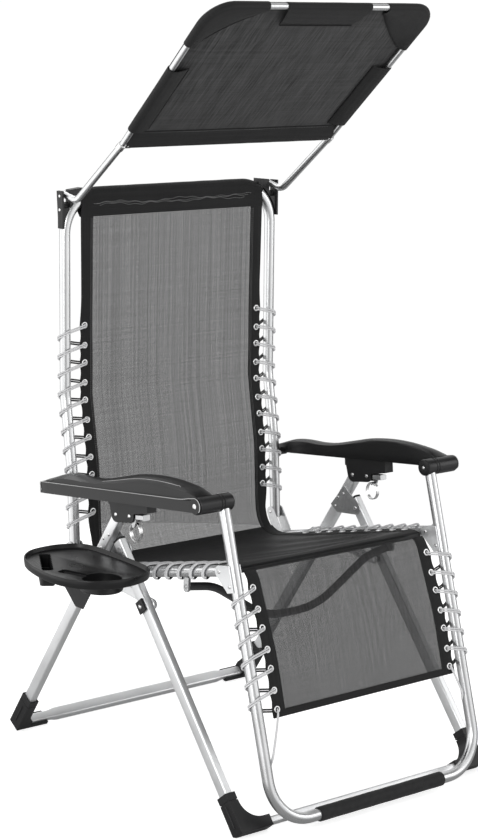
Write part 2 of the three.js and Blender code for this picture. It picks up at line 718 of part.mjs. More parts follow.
function foamGrip() {
  const shape = circle(FOAM_R, FOAM_SIDES);
  shape.holes.push(circle(TUBE_R + 2 * GAP, FOAM_SIDES));
  const low = onLegRest(LEG_REST_LENGTH);
  return sideSlab(shape, -FOAM_HALF, FOAM_HALF).translate(0, low.y, low.z);
}

// Knee forks: stamped clips round the leg rest tube that turn on the seat rails' front ends
const FORK_LOBE_R = 12;
const FORK_WRAP = 2.2;
const FORK_UP = 8;
const FORK_DOWN = 42;

function kneeFork() {
  const kneeAlong = kneePivot.clone().sub(armFront).dot(legDown);
  const wrap = TUBE_R + FORK_WRAP;
  const corners = [
    onLegRest(kneeAlong - FORK_UP, wrap), onLegRest(kneeAlong + FORK_DOWN, wrap),
    onLegRest(kneeAlong + FORK_DOWN, -wrap), onLegRest(kneeAlong - FORK_UP, -wrap),
  ];
  const shape = hullWithLobe(corners, kneePivot, FORK_LOBE_R);
  const inside = TUBE_R + TURN_GAP;
  const body = sideSlab(shape, FRAME_X - inside - SIDE_PLATE, FRAME_X + inside + SIDE_PLATE);
  const tube = rod(atX(onLegRest(0), FRAME_X), atX(onLegRest(LEG_REST_LENGTH / 2), FRAME_X), TUBE_R + GAP);
  const slotCorners = [
    onLegRest(kneeAlong - 4 * FORK_UP, -TUBE_R - GAP), onLegRest(kneeAlong + 2 * FORK_DOWN, -TUBE_R - GAP),
    onLegRest(kneeAlong + 2 * FORK_DOWN, -FORK_DOWN * 2), onLegRest(kneeAlong - 4 * FORK_UP, -FORK_DOWN * 2),
  ].map((corner) => new THREE.Vector2(corner.y, corner.z));
  const slot = sideSlab(new THREE.Shape(slotCorners), FRAME_X - inside, FRAME_X + inside);
  const pin = crossRod(kneePivot, FRAME_X - inside - SIDE_PLATE / 2,
    FRAME_X + inside + SIDE_PLATE / 2, PIN_R);
  return join(cut(body, tube, slot), pin);
}

// Armrest barrels: turned caps on the leg rest's ends that the armrests pivot on
const BARREL_INNER = 250;
const BARREL_END_GAP = 0.8;
const BARREL_OUTER = ARM_X + ARM_HALF - ARM_WALL - BARREL_END_GAP;
const BARREL_SEGMENTS = 16;
const BARREL_GROOVE = 1.4;
const BARREL_GROOVE_SHARES = [0.3, 0.38];
const BARREL_GROOVE_HALF = 1.5;
const BARREL_ROUND = 3;

function armrestBarrel() {
  const length = BARREL_OUTER - BARREL_INNER;
  const profile = [new THREE.Vector2(0, 0), new THREE.Vector2(BARREL_R - BARREL_ROUND, 0)];
  profile.push(new THREE.Vector2(BARREL_R, BARREL_ROUND));
  for (const share of BARREL_GROOVE_SHARES) {
    const place = share * length;
    profile.push(new THREE.Vector2(BARREL_R, place - BARREL_GROOVE_HALF));
    profile.push(new THREE.Vector2(BARREL_R - BARREL_GROOVE, place));
    profile.push(new THREE.Vector2(BARREL_R, place + BARREL_GROOVE_HALF));
  }
  profile.push(new THREE.Vector2(BARREL_R, length), new THREE.Vector2(0, length));
  const barrel = new THREE.LatheGeometry(profile, BARREL_SEGMENTS);
  placed(barrel, atX(armFront, BARREL_INNER), side(1, 0), acrossX);
  const tube = rod(atX(onLegRest(BARREL_SEAT - GAP), FRAME_X), atX(onLegRest(4 * BARREL_R), FRAME_X),
    TUBE_R + GAP);
  return cut(barrel, tube);
}

// Armrests: hollow below, with a crown that waves along the arm and slopes down to the outside
const ARM_CROWN_SHARES = [
  [0, 0.3], [0.05, 0.62], [0.12, 0.8], [0.2, 0.93], [0.3, 1], [0.42, 0.96], [0.55, 0.75], [0.66, 0.58],
  [0.75, 0.56], [0.84, 0.63], [0.92, 0.6], [1, 0.4], [1.04, 0.3],
];
const ARM_CHANNEL_TOP = 5;
const ARM_CHANNEL_START = 24;
const ARM_CHANNEL_END = 40;
const ARM_CHEEK_R = 15;
const ARM_SECTION_SHARES = [
  [0.45, 0.78], [-0.3, 1], [-0.8, 0.93], [-1, 0.78],
];
const ARM_BOSS_R = 8;
const ARM_NECK = 6;

function armrest() {
  const onArm = (share) => along(armFront, armForward, -share * (ARM_LENGTH + ARM_NECK) + ARM_NECK);
  const rings = ARM_CROWN_SHARES.map(([share, crownShare]) => {
    const crown = Math.max(ARM_CROWN * crownShare, ARM_SIDE_TOP + ARM_WALL);
    const outline = [[ARM_HALF, -ARM_DEPTH], [ARM_HALF, ARM_SIDE_TOP]];
    for (const [across, up] of ARM_SECTION_SHARES) {
      outline.push([ARM_HALF * across, crown * up]);
    }
    outline.push([-ARM_HALF, -ARM_INNER_DEPTH]);
    return ring(outline, atX(onArm(share), ARM_X), acrossX, armNormal);
  });
  const start = atX(along(armFront, armForward, -ARM_CHANNEL_START), ARM_X);
  const channel = new THREE.Shape([
    new THREE.Vector2(ARM_HALF - ARM_WALL, -ARM_DEPTH - OVERRUN),
    new THREE.Vector2(ARM_HALF - ARM_WALL, ARM_CHANNEL_TOP),
    new THREE.Vector2(ARM_WALL - ARM_HALF, ARM_CHANNEL_TOP),
    new THREE.Vector2(ARM_WALL - ARM_HALF, -ARM_DEPTH - OVERRUN),
  ]);
  const hollow = extruded(channel, ARM_LENGTH - ARM_CHANNEL_START - ARM_CHANNEL_END);
  const backward = armForward.clone().negate();
  placed(hollow, start, backward.clone().cross(armNormal).negate(), armNormal);
  const seatLow = ARM_X - ARM_HALF - OVERRUN;
  const saddle = crossRod(armFront, seatLow, BARREL_OUTER + TURN_GAP, BARREL_R + TURN_GAP, BARREL_SEGMENTS);
  const body = cut(loft(rings.reverse()), hollow, saddle);
  const cheek = crossRod(armFront, ARM_X + ARM_HALF - ARM_WALL, ARM_X + ARM_HALF, ARM_CHEEK_R, LOBE_SIDES);
  const boss = crossRod(armRear, FRAME_X + TUBE_R + TURN_GAP, ARM_X - ARM_HALF / 2, ARM_BOSS_R);
  return join(body, cheek, boss);
}

// Lock brackets under the armrests, their clamps and hanging rings
const LOCK_HALF = 11.3;
const LOCK_CHEEK = 3;
const LOCK_LOBE_R = 15;
const LOCK_FRONT_R = 13;
const LOCK_FRONT_PLACE = 43;
const LOCK_NOSE_LIFT = 5;
const LOCK_HEAD_TOP = -4;
const LOCK_HEAD_LOW = 19;
const LOCK_REAR = 22;
const LOCK_NOSE = 100;
const CLAMP_LONG = 24;
const CLAMP_TALL = 11;
const CLAMP_WIDE = 17;
const CLAMP_PLACE = 70;
const CLAMP_DROP = 1.3;
const RING_R = 18.5;
const RING_NARROW_SHARE = 0.9;
const RING_THICK = 2;
const RING_WIDE = 8;
const RING_PIN_R = 1.8;
const EAR_WIDE = 9;
const EAR_DROP = 11;
const EAR_BACK = 9;

const armTilt = (point) => point.clone().sub(armFront).dot(armNormal);

function lockBracket() {
  const forward = armForward;
  const lift = armTilt(lockPivot);
  const at = (ahead, rise) => along(along(lockPivot, forward, ahead), armNormal, rise - lift);
  const lobe = along(along(lockPivot, forward, LOCK_FRONT_PLACE), armNormal, 0);
  const top = LOCK_HEAD_TOP;
  const cheekShape = hullWithLobe([at(-LOCK_REAR, top), at(LOCK_FRONT_PLACE + LOCK_FRONT_R, top)],
    lockPivot, LOCK_LOBE_R, [[lobe, LOCK_FRONT_R]]);
  const low = LEG_X - LOCK_HALF;
  const high = LEG_X + LOCK_HALF;
  const cheeks = [
    sideSlab(cheekShape, low, low + LOCK_CHEEK), sideSlab(cheekShape, high - LOCK_CHEEK, high),
  ];
  const headLow = lift + LOCK_HEAD_LOW;
  const head = new THREE.Shape([
    at(-LOCK_REAR, top), at(-LOCK_REAR, headLow), at(LOCK_FRONT_PLACE - LOCK_FRONT_R, headLow),
    at(LOCK_FRONT_PLACE - LOCK_FRONT_R, lift), at(LOCK_FRONT_PLACE + LOCK_FRONT_R, lift + LOCK_NOSE_LIFT),
    at(LOCK_NOSE, lift + 2 * LOCK_NOSE_LIFT), at(LOCK_NOSE, top),
  ].map((corner) => new THREE.Vector2(corner.y, corner.z)));
  const core = sideSlab(head, low, high);
  const pin = crossRod(lockPivot, low + LOCK_CHEEK / 2, high - LOCK_CHEEK / 2, PIN_R);
  return join(...cheeks, core, pin);
}

function clampPlace() {
  return along(along(lockPivot, armForward, CLAMP_PLACE), armNormal, -CLAMP_DROP);
}

function ringPivot() {
  const middle = clampPlace();
  const rear = along(middle, armForward, -CLAMP_LONG / 2 - EAR_BACK);
  return along(rear, armNormal, -CLAMP_TALL / 2 - EAR_DROP);
}

function lockClamp() {
  const middle = clampPlace();
  const block = legBar(atX(along(middle, armForward, -CLAMP_LONG / 2), LEG_X),
    atX(along(middle, armForward, CLAMP_LONG / 2), LEG_X), CLAMP_TALL, CLAMP_WIDE, CLAMP_TALL / 5);
  const pivot = ringPivot();
  const clampRear = along(middle, armForward, -CLAMP_LONG / 2 + CLAMP_TALL / 4);
  const corners = [-1, 1].map((sign) => along(clampRear, armNormal, (sign * CLAMP_TALL) / 4));
  const earHigh = LEG_X + LOCK_HALF - LOCK_CHEEK - GAP;
  const earShape = hullWithLobe(corners, pivot, EAR_WIDE / 2);
  const ear = sideSlab(earShape, LEG_X + RING_WIDE / 2 + TURN_GAP, earHigh);
  const pin = crossRod(pivot, LEG_X - RING_WIDE / 2 - TURN_GAP, earHigh - TURN_GAP,
    RING_PIN_R, EYELET_SIDES);
  return join(block, ear, pin);
}

function lockRing() {
  const pivot = ringPivot();
  const centre = along(pivot, side(0, -1), RING_R - RING_THICK - RING_PIN_R - TURN_GAP);
  const shape = circle(RING_R, FOAM_SIDES);
  shape.holes.push(circle(RING_R - RING_THICK, FOAM_SIDES));
  const oval = sideSlab(shape, LEG_X - RING_WIDE / 2, LEG_X + RING_WIDE / 2);
  return oval.scale(1, RING_NARROW_SHARE, 1).translate(0, centre.y, centre.z);
}

// Cloth: a strip along a path of the side plane, with its holes
function strip(path, half) {
  const offset = (sign) => path.map((point, i) => {
    const before = path[Math.max(i - 1, 0)];
    const after = path[Math.min(i + 1, path.length - 1)];
    const normal = square(after.clone().sub(before).normalize());
    return along(point, normal, (sign * CLOTH) / 2);
  });
  const outline = [...offset(1), ...offset(-1).reverse()];
  return sideSlab(new THREE.Shape(outline.map((point) => new THREE.Vector2(point.y, point.z))), -half, half);
}

function eyeletHoles(places) {
  const holes = [];
  for (const [point, normal] of places) {
    for (const sign of [-1, 1]) {
      const from = atX(along(point, normal, -OVERRUN), sign * EYELET_X);
      holes.push(rod(from, atX(along(point, normal, OVERRUN), sign * EYELET_X), EYELET_R, EYELET_SIDES));
    }
  }
  return holes;
}

// A smooth corner between two straight runs of cloth, as points of a quadratic curve
function softCorner(from, corner, to, steps, start, end) {
  const points = [];
  for (let i = 0; i <= steps; i++) {
    const t = start + ((end - start) * i) / steps;
    const a = from.clone().lerp(corner, t);
    const b = corner.clone().lerp(to, t);
    points.push(a.lerp(b, t));
  }
  return points;
}

function meeting(a, aDirection, b, bDirection) {
  const normal = square(bDirection);
  const distance = b.clone().sub(a).dot(normal) / aDirection.dot(normal);
  return along(a, aDirection, distance);
}

const backLowUp = leaning(BACK_LOW_LEAN_ANGLE);
const backLowFront = square(backLowUp);
const seatLineStart = onRail(0, SLING_RISE);
const hipCorner = meeting(seatLineStart, railBack, along(hipPivot, backLowFront, SLING_RISE), backLowUp);
const kneeCorner = meeting(seatLineStart, railBack, onLegRest(0, SLING_RISE), legDown);
const PARTING_SHARE = 0.5;
const LUMBAR_REACH = 5;
const CORNER_STEPS = 5;

function backPoint(distance) {
  const [, low, middle, top] = backPath;
  const runs = [[hipPivot, low], [low, middle], [middle, top]];
  let left = distance;
  for (const [from, to] of runs) {
    const length = from.distanceTo(to);
    if (left <= length || to === top) {
      const direction = to.clone().sub(from).normalize();
      return [along(from, direction, left), square(direction), direction];
    }
    left -= length;
  }
  return null;
}

function backLength() {
  const [, low, middle, top] = backPath;
  return hipPivot.distanceTo(low) + low.distanceTo(middle) + middle.distanceTo(top);
}

function eyeletsOnBack() {
  const places = [];
  for (let i = 0; i < BACK_EYELETS; i++) {
    places.push(BACK_FIRST_EYELET + EYELET_PITCH * (BACK_EYELETS - 1 - i));
  }
  return places;
}

function eyeletsFrom(first, count) {
  return Array.from({ length: count }, (_, i) => first + EYELET_PITCH * i);
}

const HEM_WRAP = TUBE_R + GAP + CLOTH / 2;
const HEM_TALL = 52;

function backSling() {
  const hip = softCorner(along(hipCorner, railBack, -SLING_CREASE), hipCorner,
    along(hipCorner, backLowUp, SLING_CREASE), CORNER_STEPS,
    PARTING_SHARE + SLING_PARTING / (4 * SLING_CREASE), 1);
  const total = backLength();
  const [, lowCorner, middleCorner] = backPath;
  const lowRun = hipPivot.distanceTo(lowCorner);
  const midRun = lowCorner.distanceTo(middleCorner);
  const lastEyelet = eyeletsOnBack()[0];
  const rise = (distance) => {
    const share = Math.max(distance - lastEyelet, 0) / (total - lastEyelet);
    return SLING_RISE + (HEM_WRAP - SLING_RISE) * share;
  };
  const stations = [lowRun - LUMBAR_REACH, lowRun + LUMBAR_REACH, lowRun + midRun - LUMBAR_REACH,
    lowRun + midRun + LUMBAR_REACH, lastEyelet, total];
  const path = [...hip, ...stations.map((distance) => {
    const [point, front] = backPoint(distance);
    return along(point, front, rise(distance));
  })];
  const sheet = strip(path, SLING_HALF);
  const [topPoint, topFront] = backPoint(total);
  const sleeveShape = circle(HEM_WRAP + CLOTH / 2, FOAM_SIDES);
  sleeveShape.holes.push(circle(HEM_WRAP - CLOTH / 2, FOAM_SIDES));
  const sleeveHalf = FRAME_X - BACK_BEND_R;
  const sleeve = sideSlab(sleeveShape, -sleeveHalf, sleeveHalf).translate(0, topPoint.y, topPoint.z);
  const trimLow = backPoint(total - HEM_TALL)[0];
  const shoulder = SLING_HALF - HEM_HALF;
  const trims = [-1, 1].map((sign) => {
    const box = new THREE.BoxGeometry(2 * shoulder, 8 * TUBE_R, 2 * (topPoint.z - trimLow.z));
    return box.translate(sign * SLING_HALF, topPoint.y, topPoint.z);
  });
  const holes = eyeletHoles(eyeletsOnBack().map((distance) => {
    const [point, front] = backPoint(distance);
    return [along(point, front, SLING_RISE), topFront];
  }));
  return cut(join(sheet, sleeve), ...trims, ...holes);
}

function seatSling() {
  const knee = softCorner(along(kneeCorner, legDown, SLING_KNEE), kneeCorner,
    along(kneeCorner, railBack, SLING_KNEE), CORNER_STEPS,
    PARTING_SHARE + SLING_PARTING / (4 * SLING_KNEE), 1);
  const hip = softCorner(along(hipCorner, railBack, -SLING_CREASE), hipCorner,
    along(hipCorner, backLowUp, SLING_CREASE), CORNER_STEPS, 0,
    PARTING_SHARE - SLING_PARTING / (4 * SLING_CREASE));
  const holes = eyeletHoles(eyeletsFrom(SEAT_FIRST_EYELET, SEAT_EYELETS).map((distance) => {
    return [onRail(distance, SLING_RISE), railUp];
  }));
  return cut(strip([...knee, ...hip], SLING_HALF), ...holes);
}

function legSling() {
  const knee = softCorner(along(kneeCorner, legDown, SLING_KNEE), kneeCorner,
    along(kneeCorner, railBack, SLING_KNEE), CORNER_STEPS, 0,
    PARTING_SHARE - SLING_PARTING / (4 * SLING_KNEE));
  const places = eyeletsFrom(LEG_FIRST_EYELET, LEG_EYELETS);
  const hem = onLegRest(places[LEG_EYELETS - 1] + SLING_TAIL, SLING_RISE);
  const holes = eyeletHoles(places.map((distance) => [onLegRest(distance, SLING_RISE), legFront]));
  return cut(strip([hem, ...knee], SLING_HALF), ...holes);
}

// Lacing: one unbroken cord that goes through each eyelet from behind, over the tube and back
const WRAP_R = TUBE_R + CORD_R + CORD_GAP;
const WRAP_STEPS = 5;
const WRAP_ANGLE = 204;
const WRAP_TURN = THREE.MathUtils.degToRad(WRAP_ANGLE);
const FRONT_SHARE = 0.25;
const BACK_SHARE = 0.85;
const HOLE_REACH = 4;
const HOLE_SHIFT = 4;
const HOLE_NECK = 1.2;
const TAIL_SHARE = 0.95;

// onTube gives, for a distance along the tube, its centre, its normal towards the sitter and its direction
function lacing(onTube, places, tailDrop) {
  const points = [];
  const put = (distance, x, rise) => {
    const [point, front] = onTube(distance);
    points.push(atX(along(point, front, rise), x));
  };
  places.forEach((place, i) => {
    put(place, EYELET_X + (i ? HOLE_SHIFT : 0), SLING_RISE - HOLE_REACH);
    put(place, EYELET_X, SLING_RISE - HOLE_NECK);
    put(place, EYELET_X, SLING_RISE + HOLE_NECK);
    const next = i < places.length - 1 ? places[i + 1] : place + tailDrop;
    const pitch = next - place;
    const lean = Math.sign(pitch) * HOLE_SHIFT * FRONT_SHARE;
    put(place + lean, EYELET_X + HOLE_SHIFT, SLING_RISE + HOLE_REACH);
    const steps = i < places.length - 1 ? WRAP_STEPS : WRAP_STEPS - 1;
    for (let k = 0; k <= steps; k++) {
      const angle = Math.PI / 2 - (WRAP_TURN * k) / WRAP_STEPS;
      const share = FRONT_SHARE + ((BACK_SHARE - FRONT_SHARE) * k) / WRAP_STEPS;
      put(place + pitch * share, FRAME_X + WRAP_R * Math.cos(angle), WRAP_R * Math.sin(angle));
    }
  });
  return points;
}

function leastSelfGap(points) {
  let least = Infinity;
  const fine = [];
  for (let i = 0; i < points.length - 1; i++) {
    const parts = Math.ceil(points[i].distanceTo(points[i + 1]) / CORD_R);
    for (let k = 0; k < parts; k++) {
      fine.push([points[i].clone().lerp(points[i + 1], k / parts), i]);
    }
  }
  for (const [a, i] of fine) {
    for (const [b, k] of fine) {
      if (k > i + 6) {
        least = Math.min(least, a.distanceTo(b) - 2 * CORD_R);
      }
    }
  }
  return least;
}

function laceAll() {
  const rail = (distance) => [onRail(distance), railUp];
  const leg = (distance) => [onLegRest(distance), legFront];
  const sets = [
    ["back_lacing", backPoint, eyeletsOnBack(), -EYELET_PITCH],
    ["seat_lacing", rail, eyeletsFrom(SEAT_FIRST_EYELET, SEAT_EYELETS), EYELET_PITCH / 2],
    ["leg_lacing", leg, eyeletsFrom(LEG_FIRST_EYELET, LEG_EYELETS), 2 * EYELET_PITCH],
  ];
  for (const [name, onTube, places, tail] of sets) {
    const route = lacing(onTube, places, tail);
    console.log(`${name} least gap to itself: ${leastSelfGap(route).toFixed(2)} mm`);
    addPair(name, sweep(route, CORD_R, CORD_SIDES), cordRubber);
  }
}

// Canopy: a pocketed sheet on a bent tube, on two arms that turn in the gussets
const backHighUp = leaning(BACK_HIGH_LEAN_ANGLE);
const canopyPivot = canopyPivotPlace();
const canopyUp = leaning(CANOPY_RISE_ANGLE - RIGHT_ANGLE);
const canopyNormal = leaning(CANOPY_RISE_ANGLE);
const canopyNeck = along(canopyPivot, leaning(-RIGHT_ANGLE - CANOPY_NECK_ANGLE), CANOPY_NECK);
const canopyRoot = along(canopyNeck, leaning(CANOPY_ARM_RISE_ANGLE - RIGHT_ANGLE), CANOPY_ARM_LENGTH);
const onCanopy = (distance, rise = 0) => along(along(canopyRoot, canopyUp, distance), canopyNormal, rise);
const GUSSET_HALF = 12;
const GUSSET_SET_BACK = 4;
const GUSSET_OUTER = 280;
const GUSSET_TALL = 74;
const GUSSET_INNER = 228;
const GUSSET_TOP = 8;
const GUSSET_PIN_R = 3;
const CLEVIS_HALF = 8;
const CLEVIS_R = 17;
const CLEVIS_LOW = 26;
const ARM_BEND_R = 30;
const ARM_END_GAP = 1;

function canopyPivotPlace() {
  const [, , middle] = backPath;
  const high = leaning(BACK_HIGH_LEAN_ANGLE);
  return along(middle, high, (CANOPY_PIVOT_HEIGHT - (middle.z - hipPivot.z)) / high.z);
}

function canopyGusset() {
  const [, , middle, top] = backPath;
  const topRun = middle.distanceTo(top);
  const bendCentre = topRun - BACK_BEND_R;
  const clear = BACK_BEND_R + TUBE_R + GAP;
  const cx = FRAME_X - BACK_BEND_R;
  const shape = new THREE.Shape();
  const tipAngle = Math.asin((BACK_BEND_R + GUSSET_TOP - GUSSET_TALL) / clear);
  const topAngle = Math.acos((GUSSET_INNER - cx) / clear);
  shape.moveTo(cx + clear * Math.cos(tipAngle), bendCentre + clear * Math.sin(tipAngle));
  shape.lineTo(GUSSET_OUTER, topRun - GUSSET_TALL + GUSSET_TOP);
  shape.lineTo(GUSSET_OUTER, topRun + GUSSET_TOP);
  shape.lineTo(GUSSET_INNER, topRun + GUSSET_TOP + TUBE_R / 2);
  for (let i = 0; i <= LOBE_SIDES / 2; i++) {
    const angle = topAngle + ((tipAngle - topAngle) * i) / (LOBE_SIDES / 2);
    shape.lineTo(cx + clear * Math.cos(angle), bendCentre + clear * Math.sin(angle));
  }
  const geometry = extruded(shape, 2 * GUSSET_HALF);
  const lean = square(backHighUp);
  placed(geometry, along(middle, lean, -GUSSET_HALF - GUSSET_SET_BACK), acrossX, backHighUp);
  const clevis = crossRod(canopyPivot, CANOPY_X - CLEVIS_HALF, CANOPY_X + CLEVIS_HALF, CLEVIS_R,
    LOBE_SIDES);
  const mouth = new THREE.BoxGeometry(2 * CLEVIS_HALF, 2 * CLEVIS_R, CLEVIS_LOW + CLEVIS_R);
  mouth.translate(CANOPY_X, canopyPivot.y - CLEVIS_R, canopyPivot.z + (CLEVIS_R - CLEVIS_LOW) / 2);
  const pin = crossRod(canopyPivot, CANOPY_X - CLEVIS_HALF - GAP, CANOPY_X + CLEVIS_HALF + GAP,
    GUSSET_PIN_R);
  return join(cut(geometry, clevis, mouth), pin);
}

function canopyArm() {
  const tail = along(canopyPivot, leaning(RIGHT_ANGLE - CANOPY_NECK_ANGLE), CANOPY_ARM_R);
  const end = along(canopyRoot, leaning(CANOPY_ARM_RISE_ANGLE - RIGHT_ANGLE), -ARM_END_GAP);
  const corners = [tail, canopyNeck, end];
  const tube = sweep(bent(corners.map((point) => atX(point, CANOPY_X)), [ARM_BEND_R], 6), CANOPY_ARM_R);
  const hole = crossRod(canopyPivot, CANOPY_X - 2 * CLEVIS_HALF, CANOPY_X + 2 * CLEVIS_HALF,
    GUSSET_PIN_R + GAP);
  return cut(tube, hole);
}

function canopyFrame() {
  const low = onCanopy(0);
  const front = onCanopy(CANOPY_LENGTH);
  const frontX = CANOPY_X + CANOPY_FLARE;
  const corners = [atX(low, -CANOPY_X), atX(front, -frontX), atX(front, frontX), atX(low, CANOPY_X)];
  return sweep(bent(corners, [CANOPY_CORNER_R, CANOPY_CORNER_R], 6), CANOPY_TUBE_R);
}

const REAR_BAR_R = 5;
const REAR_BAR_PLACE = 8;

function canopyRearBar() {
  const reach = CANOPY_X - CANOPY_TUBE_R - GAP;
  return crossRod(onCanopy(REAR_BAR_PLACE), -reach, reach, REAR_BAR_R);
}

// Canopy sheet: a flat envelope round the frame, cut open below to leave its pockets and sleeves
const ENVELOPE_IN = CANOPY_TUBE_R + GAP;
const ENVELOPE_OUT = ENVELOPE_IN + CLOTH;
const CANOPY_HEM = 4;
const HEM_DEEP = 32;
const NOTCH_X = 250;
const SLEEVE_START = 42;
const SLEEVE_END = 215;
const SLEEVE_WIDE = 45;
const POCKET_START = 282;
const POCKET_X = 246;
const POCKET_FRONT_X = 140;
const POCKET_FRONT = 24;
const CENTRE_SLEEVE_X = 104;
const CENTRE_SLEEVE_TAPER = 18;
const CENTRE_SLEEVE_DEEP = 57;

// The canopy widens towards its front
const canopyFlare = (distance) => (CANOPY_FLARE * distance) / CANOPY_LENGTH;

function canopySlab(half, start, end, corner, low, high) {
  const slope = Math.atan2(CANOPY_FLARE, CANOPY_LENGTH);
  const centre = half + canopyFlare(end - corner) - corner / Math.cos(slope);
  const shape = new THREE.Shape();
  shape.moveTo(-half - canopyFlare(start), start);
  shape.lineTo(half + canopyFlare(start), start);
  shape.absarc(centre, end - corner, corner, -slope, Math.PI / 2);
  shape.absarc(-centre, end - corner, corner, Math.PI / 2, Math.PI + slope);
  return canopyExtrude(shape, low, high);
}

// A cut's outline, widened with the canopy
function canopyShape(corners) {
  return new THREE.Shape(corners.map(([x, t]) => new THREE.Vector2(x * (1 + canopyFlare(t) / CANOPY_X), t)));
}

function canopyExtrude(shape, low, high) {
  return placed(extruded(shape, high - low, 6), onCanopy(0, high), acrossX, canopyUp);
}

function canopyFabric() {
  const corner = CANOPY_CORNER_R;
  const outer = canopySlab(CANOPY_X + ENVELOPE_OUT, -CANOPY_HEM, CANOPY_LENGTH + ENVELOPE_OUT,
    corner + ENVELOPE_OUT, -ENVELOPE_OUT, ENVELOPE_OUT);
  const inner = canopySlab(CANOPY_X + ENVELOPE_IN, CLOTH - CANOPY_HEM, CANOPY_LENGTH + ENVELOPE_IN,
    corner + ENVELOPE_IN, -ENVELOPE_IN, ENVELOPE_IN);
  const wall = CANOPY_X + ENVELOPE_IN;
  const sleeve = wall - SLEEVE_WIDE;
  const front = CANOPY_LENGTH + ENVELOPE_IN;
  const half = [
    [sleeve, HEM_DEEP], [sleeve, SLEEVE_END], [wall, SLEEVE_END], [wall, POCKET_START],
    [POCKET_X, POCKET_START], [POCKET_FRONT_X, front - POCKET_FRONT], [POCKET_FRONT_X - OVERRUN, front],
    [CENTRE_SLEEVE_X, front], [CENTRE_SLEEVE_X - CENTRE_SLEEVE_TAPER, front - CENTRE_SLEEVE_DEEP],
  ];
  const mirrored = half.map(([x, t]) => [-x, t]).reverse();
  const opening = canopyExtrude(canopyShape([...half, ...mirrored]), -ENVELOPE_OUT - OVERRUN, 0);
  const bareX = CANOPY_X - 2 * CANOPY_TUBE_R;
  const bareTubes = [-1, 1].map((sign) => {
    const bare = canopyShape([
      [sign * bareX, SLEEVE_END], [sign * 2 * bareX, SLEEVE_END],
      [sign * 2 * bareX, POCKET_START], [sign * bareX, POCKET_START],
    ]);
    return canopyExtrude(bare, -ENVELOPE_OUT - OVERRUN, ENVELOPE_IN);
  });
  const notches = [-1, 1].map((sign) => {
    const notch = canopyShape([
      [sign * NOTCH_X, -2 * CANOPY_HEM], [sign * 2 * NOTCH_X, -2 * CANOPY_HEM],
      [sign * 2 * NOTCH_X, SLEEVE_START], [sign * NOTCH_X, SLEEVE_START],
    ]);
    return canopyExtrude(notch, -2 * ENVELOPE_OUT, 2 * ENVELOPE_OUT);
  });
  return cut(outer, inner, opening, ...bareTubes, ...notches);
}

// Tray with a cup recess and a slot, on a clip that hangs on the right rear leg
const CUP_SHIFT = 11;
const CUP_AHEAD = 76;
const CUP_R = 41;
const CUP_DEEP = 33;
const NOTCH_SHIFT = 22;
const NOTCH_LONG = 84;
const NOTCH_WIDE = 24;
const NOTCH_DEEP = 5;
const NOTCH_TURN_ANGLE = 110;
const SLOT_SHIFT = 36;
const SLOT_BEHIND = 68;
const SLOT_LONG = 116;
const SLOT_WIDE = 22;
const SLOT_DEEP = 36;
const SLOT_TURN_ANGLE = 58;
const TRAY_FLOOR = 9;
const TRAY_OUTLINE_SHARES = [
  [0.96, -0.35], [0.96, 0.5], [0.85, 0.82], [0.5, 0.97], [0.1, 1], [-0.35, 0.93], [-0.72, 0.68], [-0.92, 0.3],
  [-1, -0.15], [-0.92, -0.52], [-0.62, -0.82], [-0.1, -0.97], [0.45, -0.93], [0.83, -0.76],
];
const TRAY_OUTLINE_STEPS = 36;
const trayMiddle = new THREE.Vector3(TRAY_X, onRearLeg(TRAY_TOP).y - TRAY_AHEAD, 0);
const cupMiddle = new THREE.Vector3(TRAY_X - CUP_SHIFT, trayMiddle.y - CUP_AHEAD, 0);
const CLIP_TALL = 141;
const CLIP_TAPER = 31;
const CLIP_LOW = TRAY_TOP - CLIP_TALL;
const CLIP_KNEE = CLIP_LOW + CLIP_TAPER;
const CLIP_FRONT = 36;
const CLIP_TOE = 12;
const CLIP_BACK = 45;
const CLIP_TOP_BACK = 58;
const CLIP_WALL = 3;
const CLIP_LIP = 9;
const CLIP_SHELF = 62;
const CLIP_SHELF_THICK = 4;

function traySlab(grow, low, high) {
  const corners = TRAY_OUTLINE_SHARES.map(([x, y]) => {
    return new THREE.Vector3(x * (TRAY_HALF_WIDE + grow), y * (TRAY_HALF_LONG + grow), 0);
  });
  const curve = new THREE.CatmullRomCurve3(corners, true);
  const outline = curve.getSpacedPoints(TRAY_OUTLINE_STEPS).slice(1);
  const shape = new THREE.Shape(outline.map((point) => new THREE.Vector2(point.x, point.y)));
  return extruded(shape, high - low).translate(trayMiddle.x, trayMiddle.y, low);
}

function trayRecess(x, y, long, wide, turn, low, high) {
  const geometry = extruded(roundedRectangle(long, wide, wide / 4), high - low, 2);
  geometry.rotateZ(THREE.MathUtils.degToRad(turn));
  return geometry.translate(x, y, low);
}

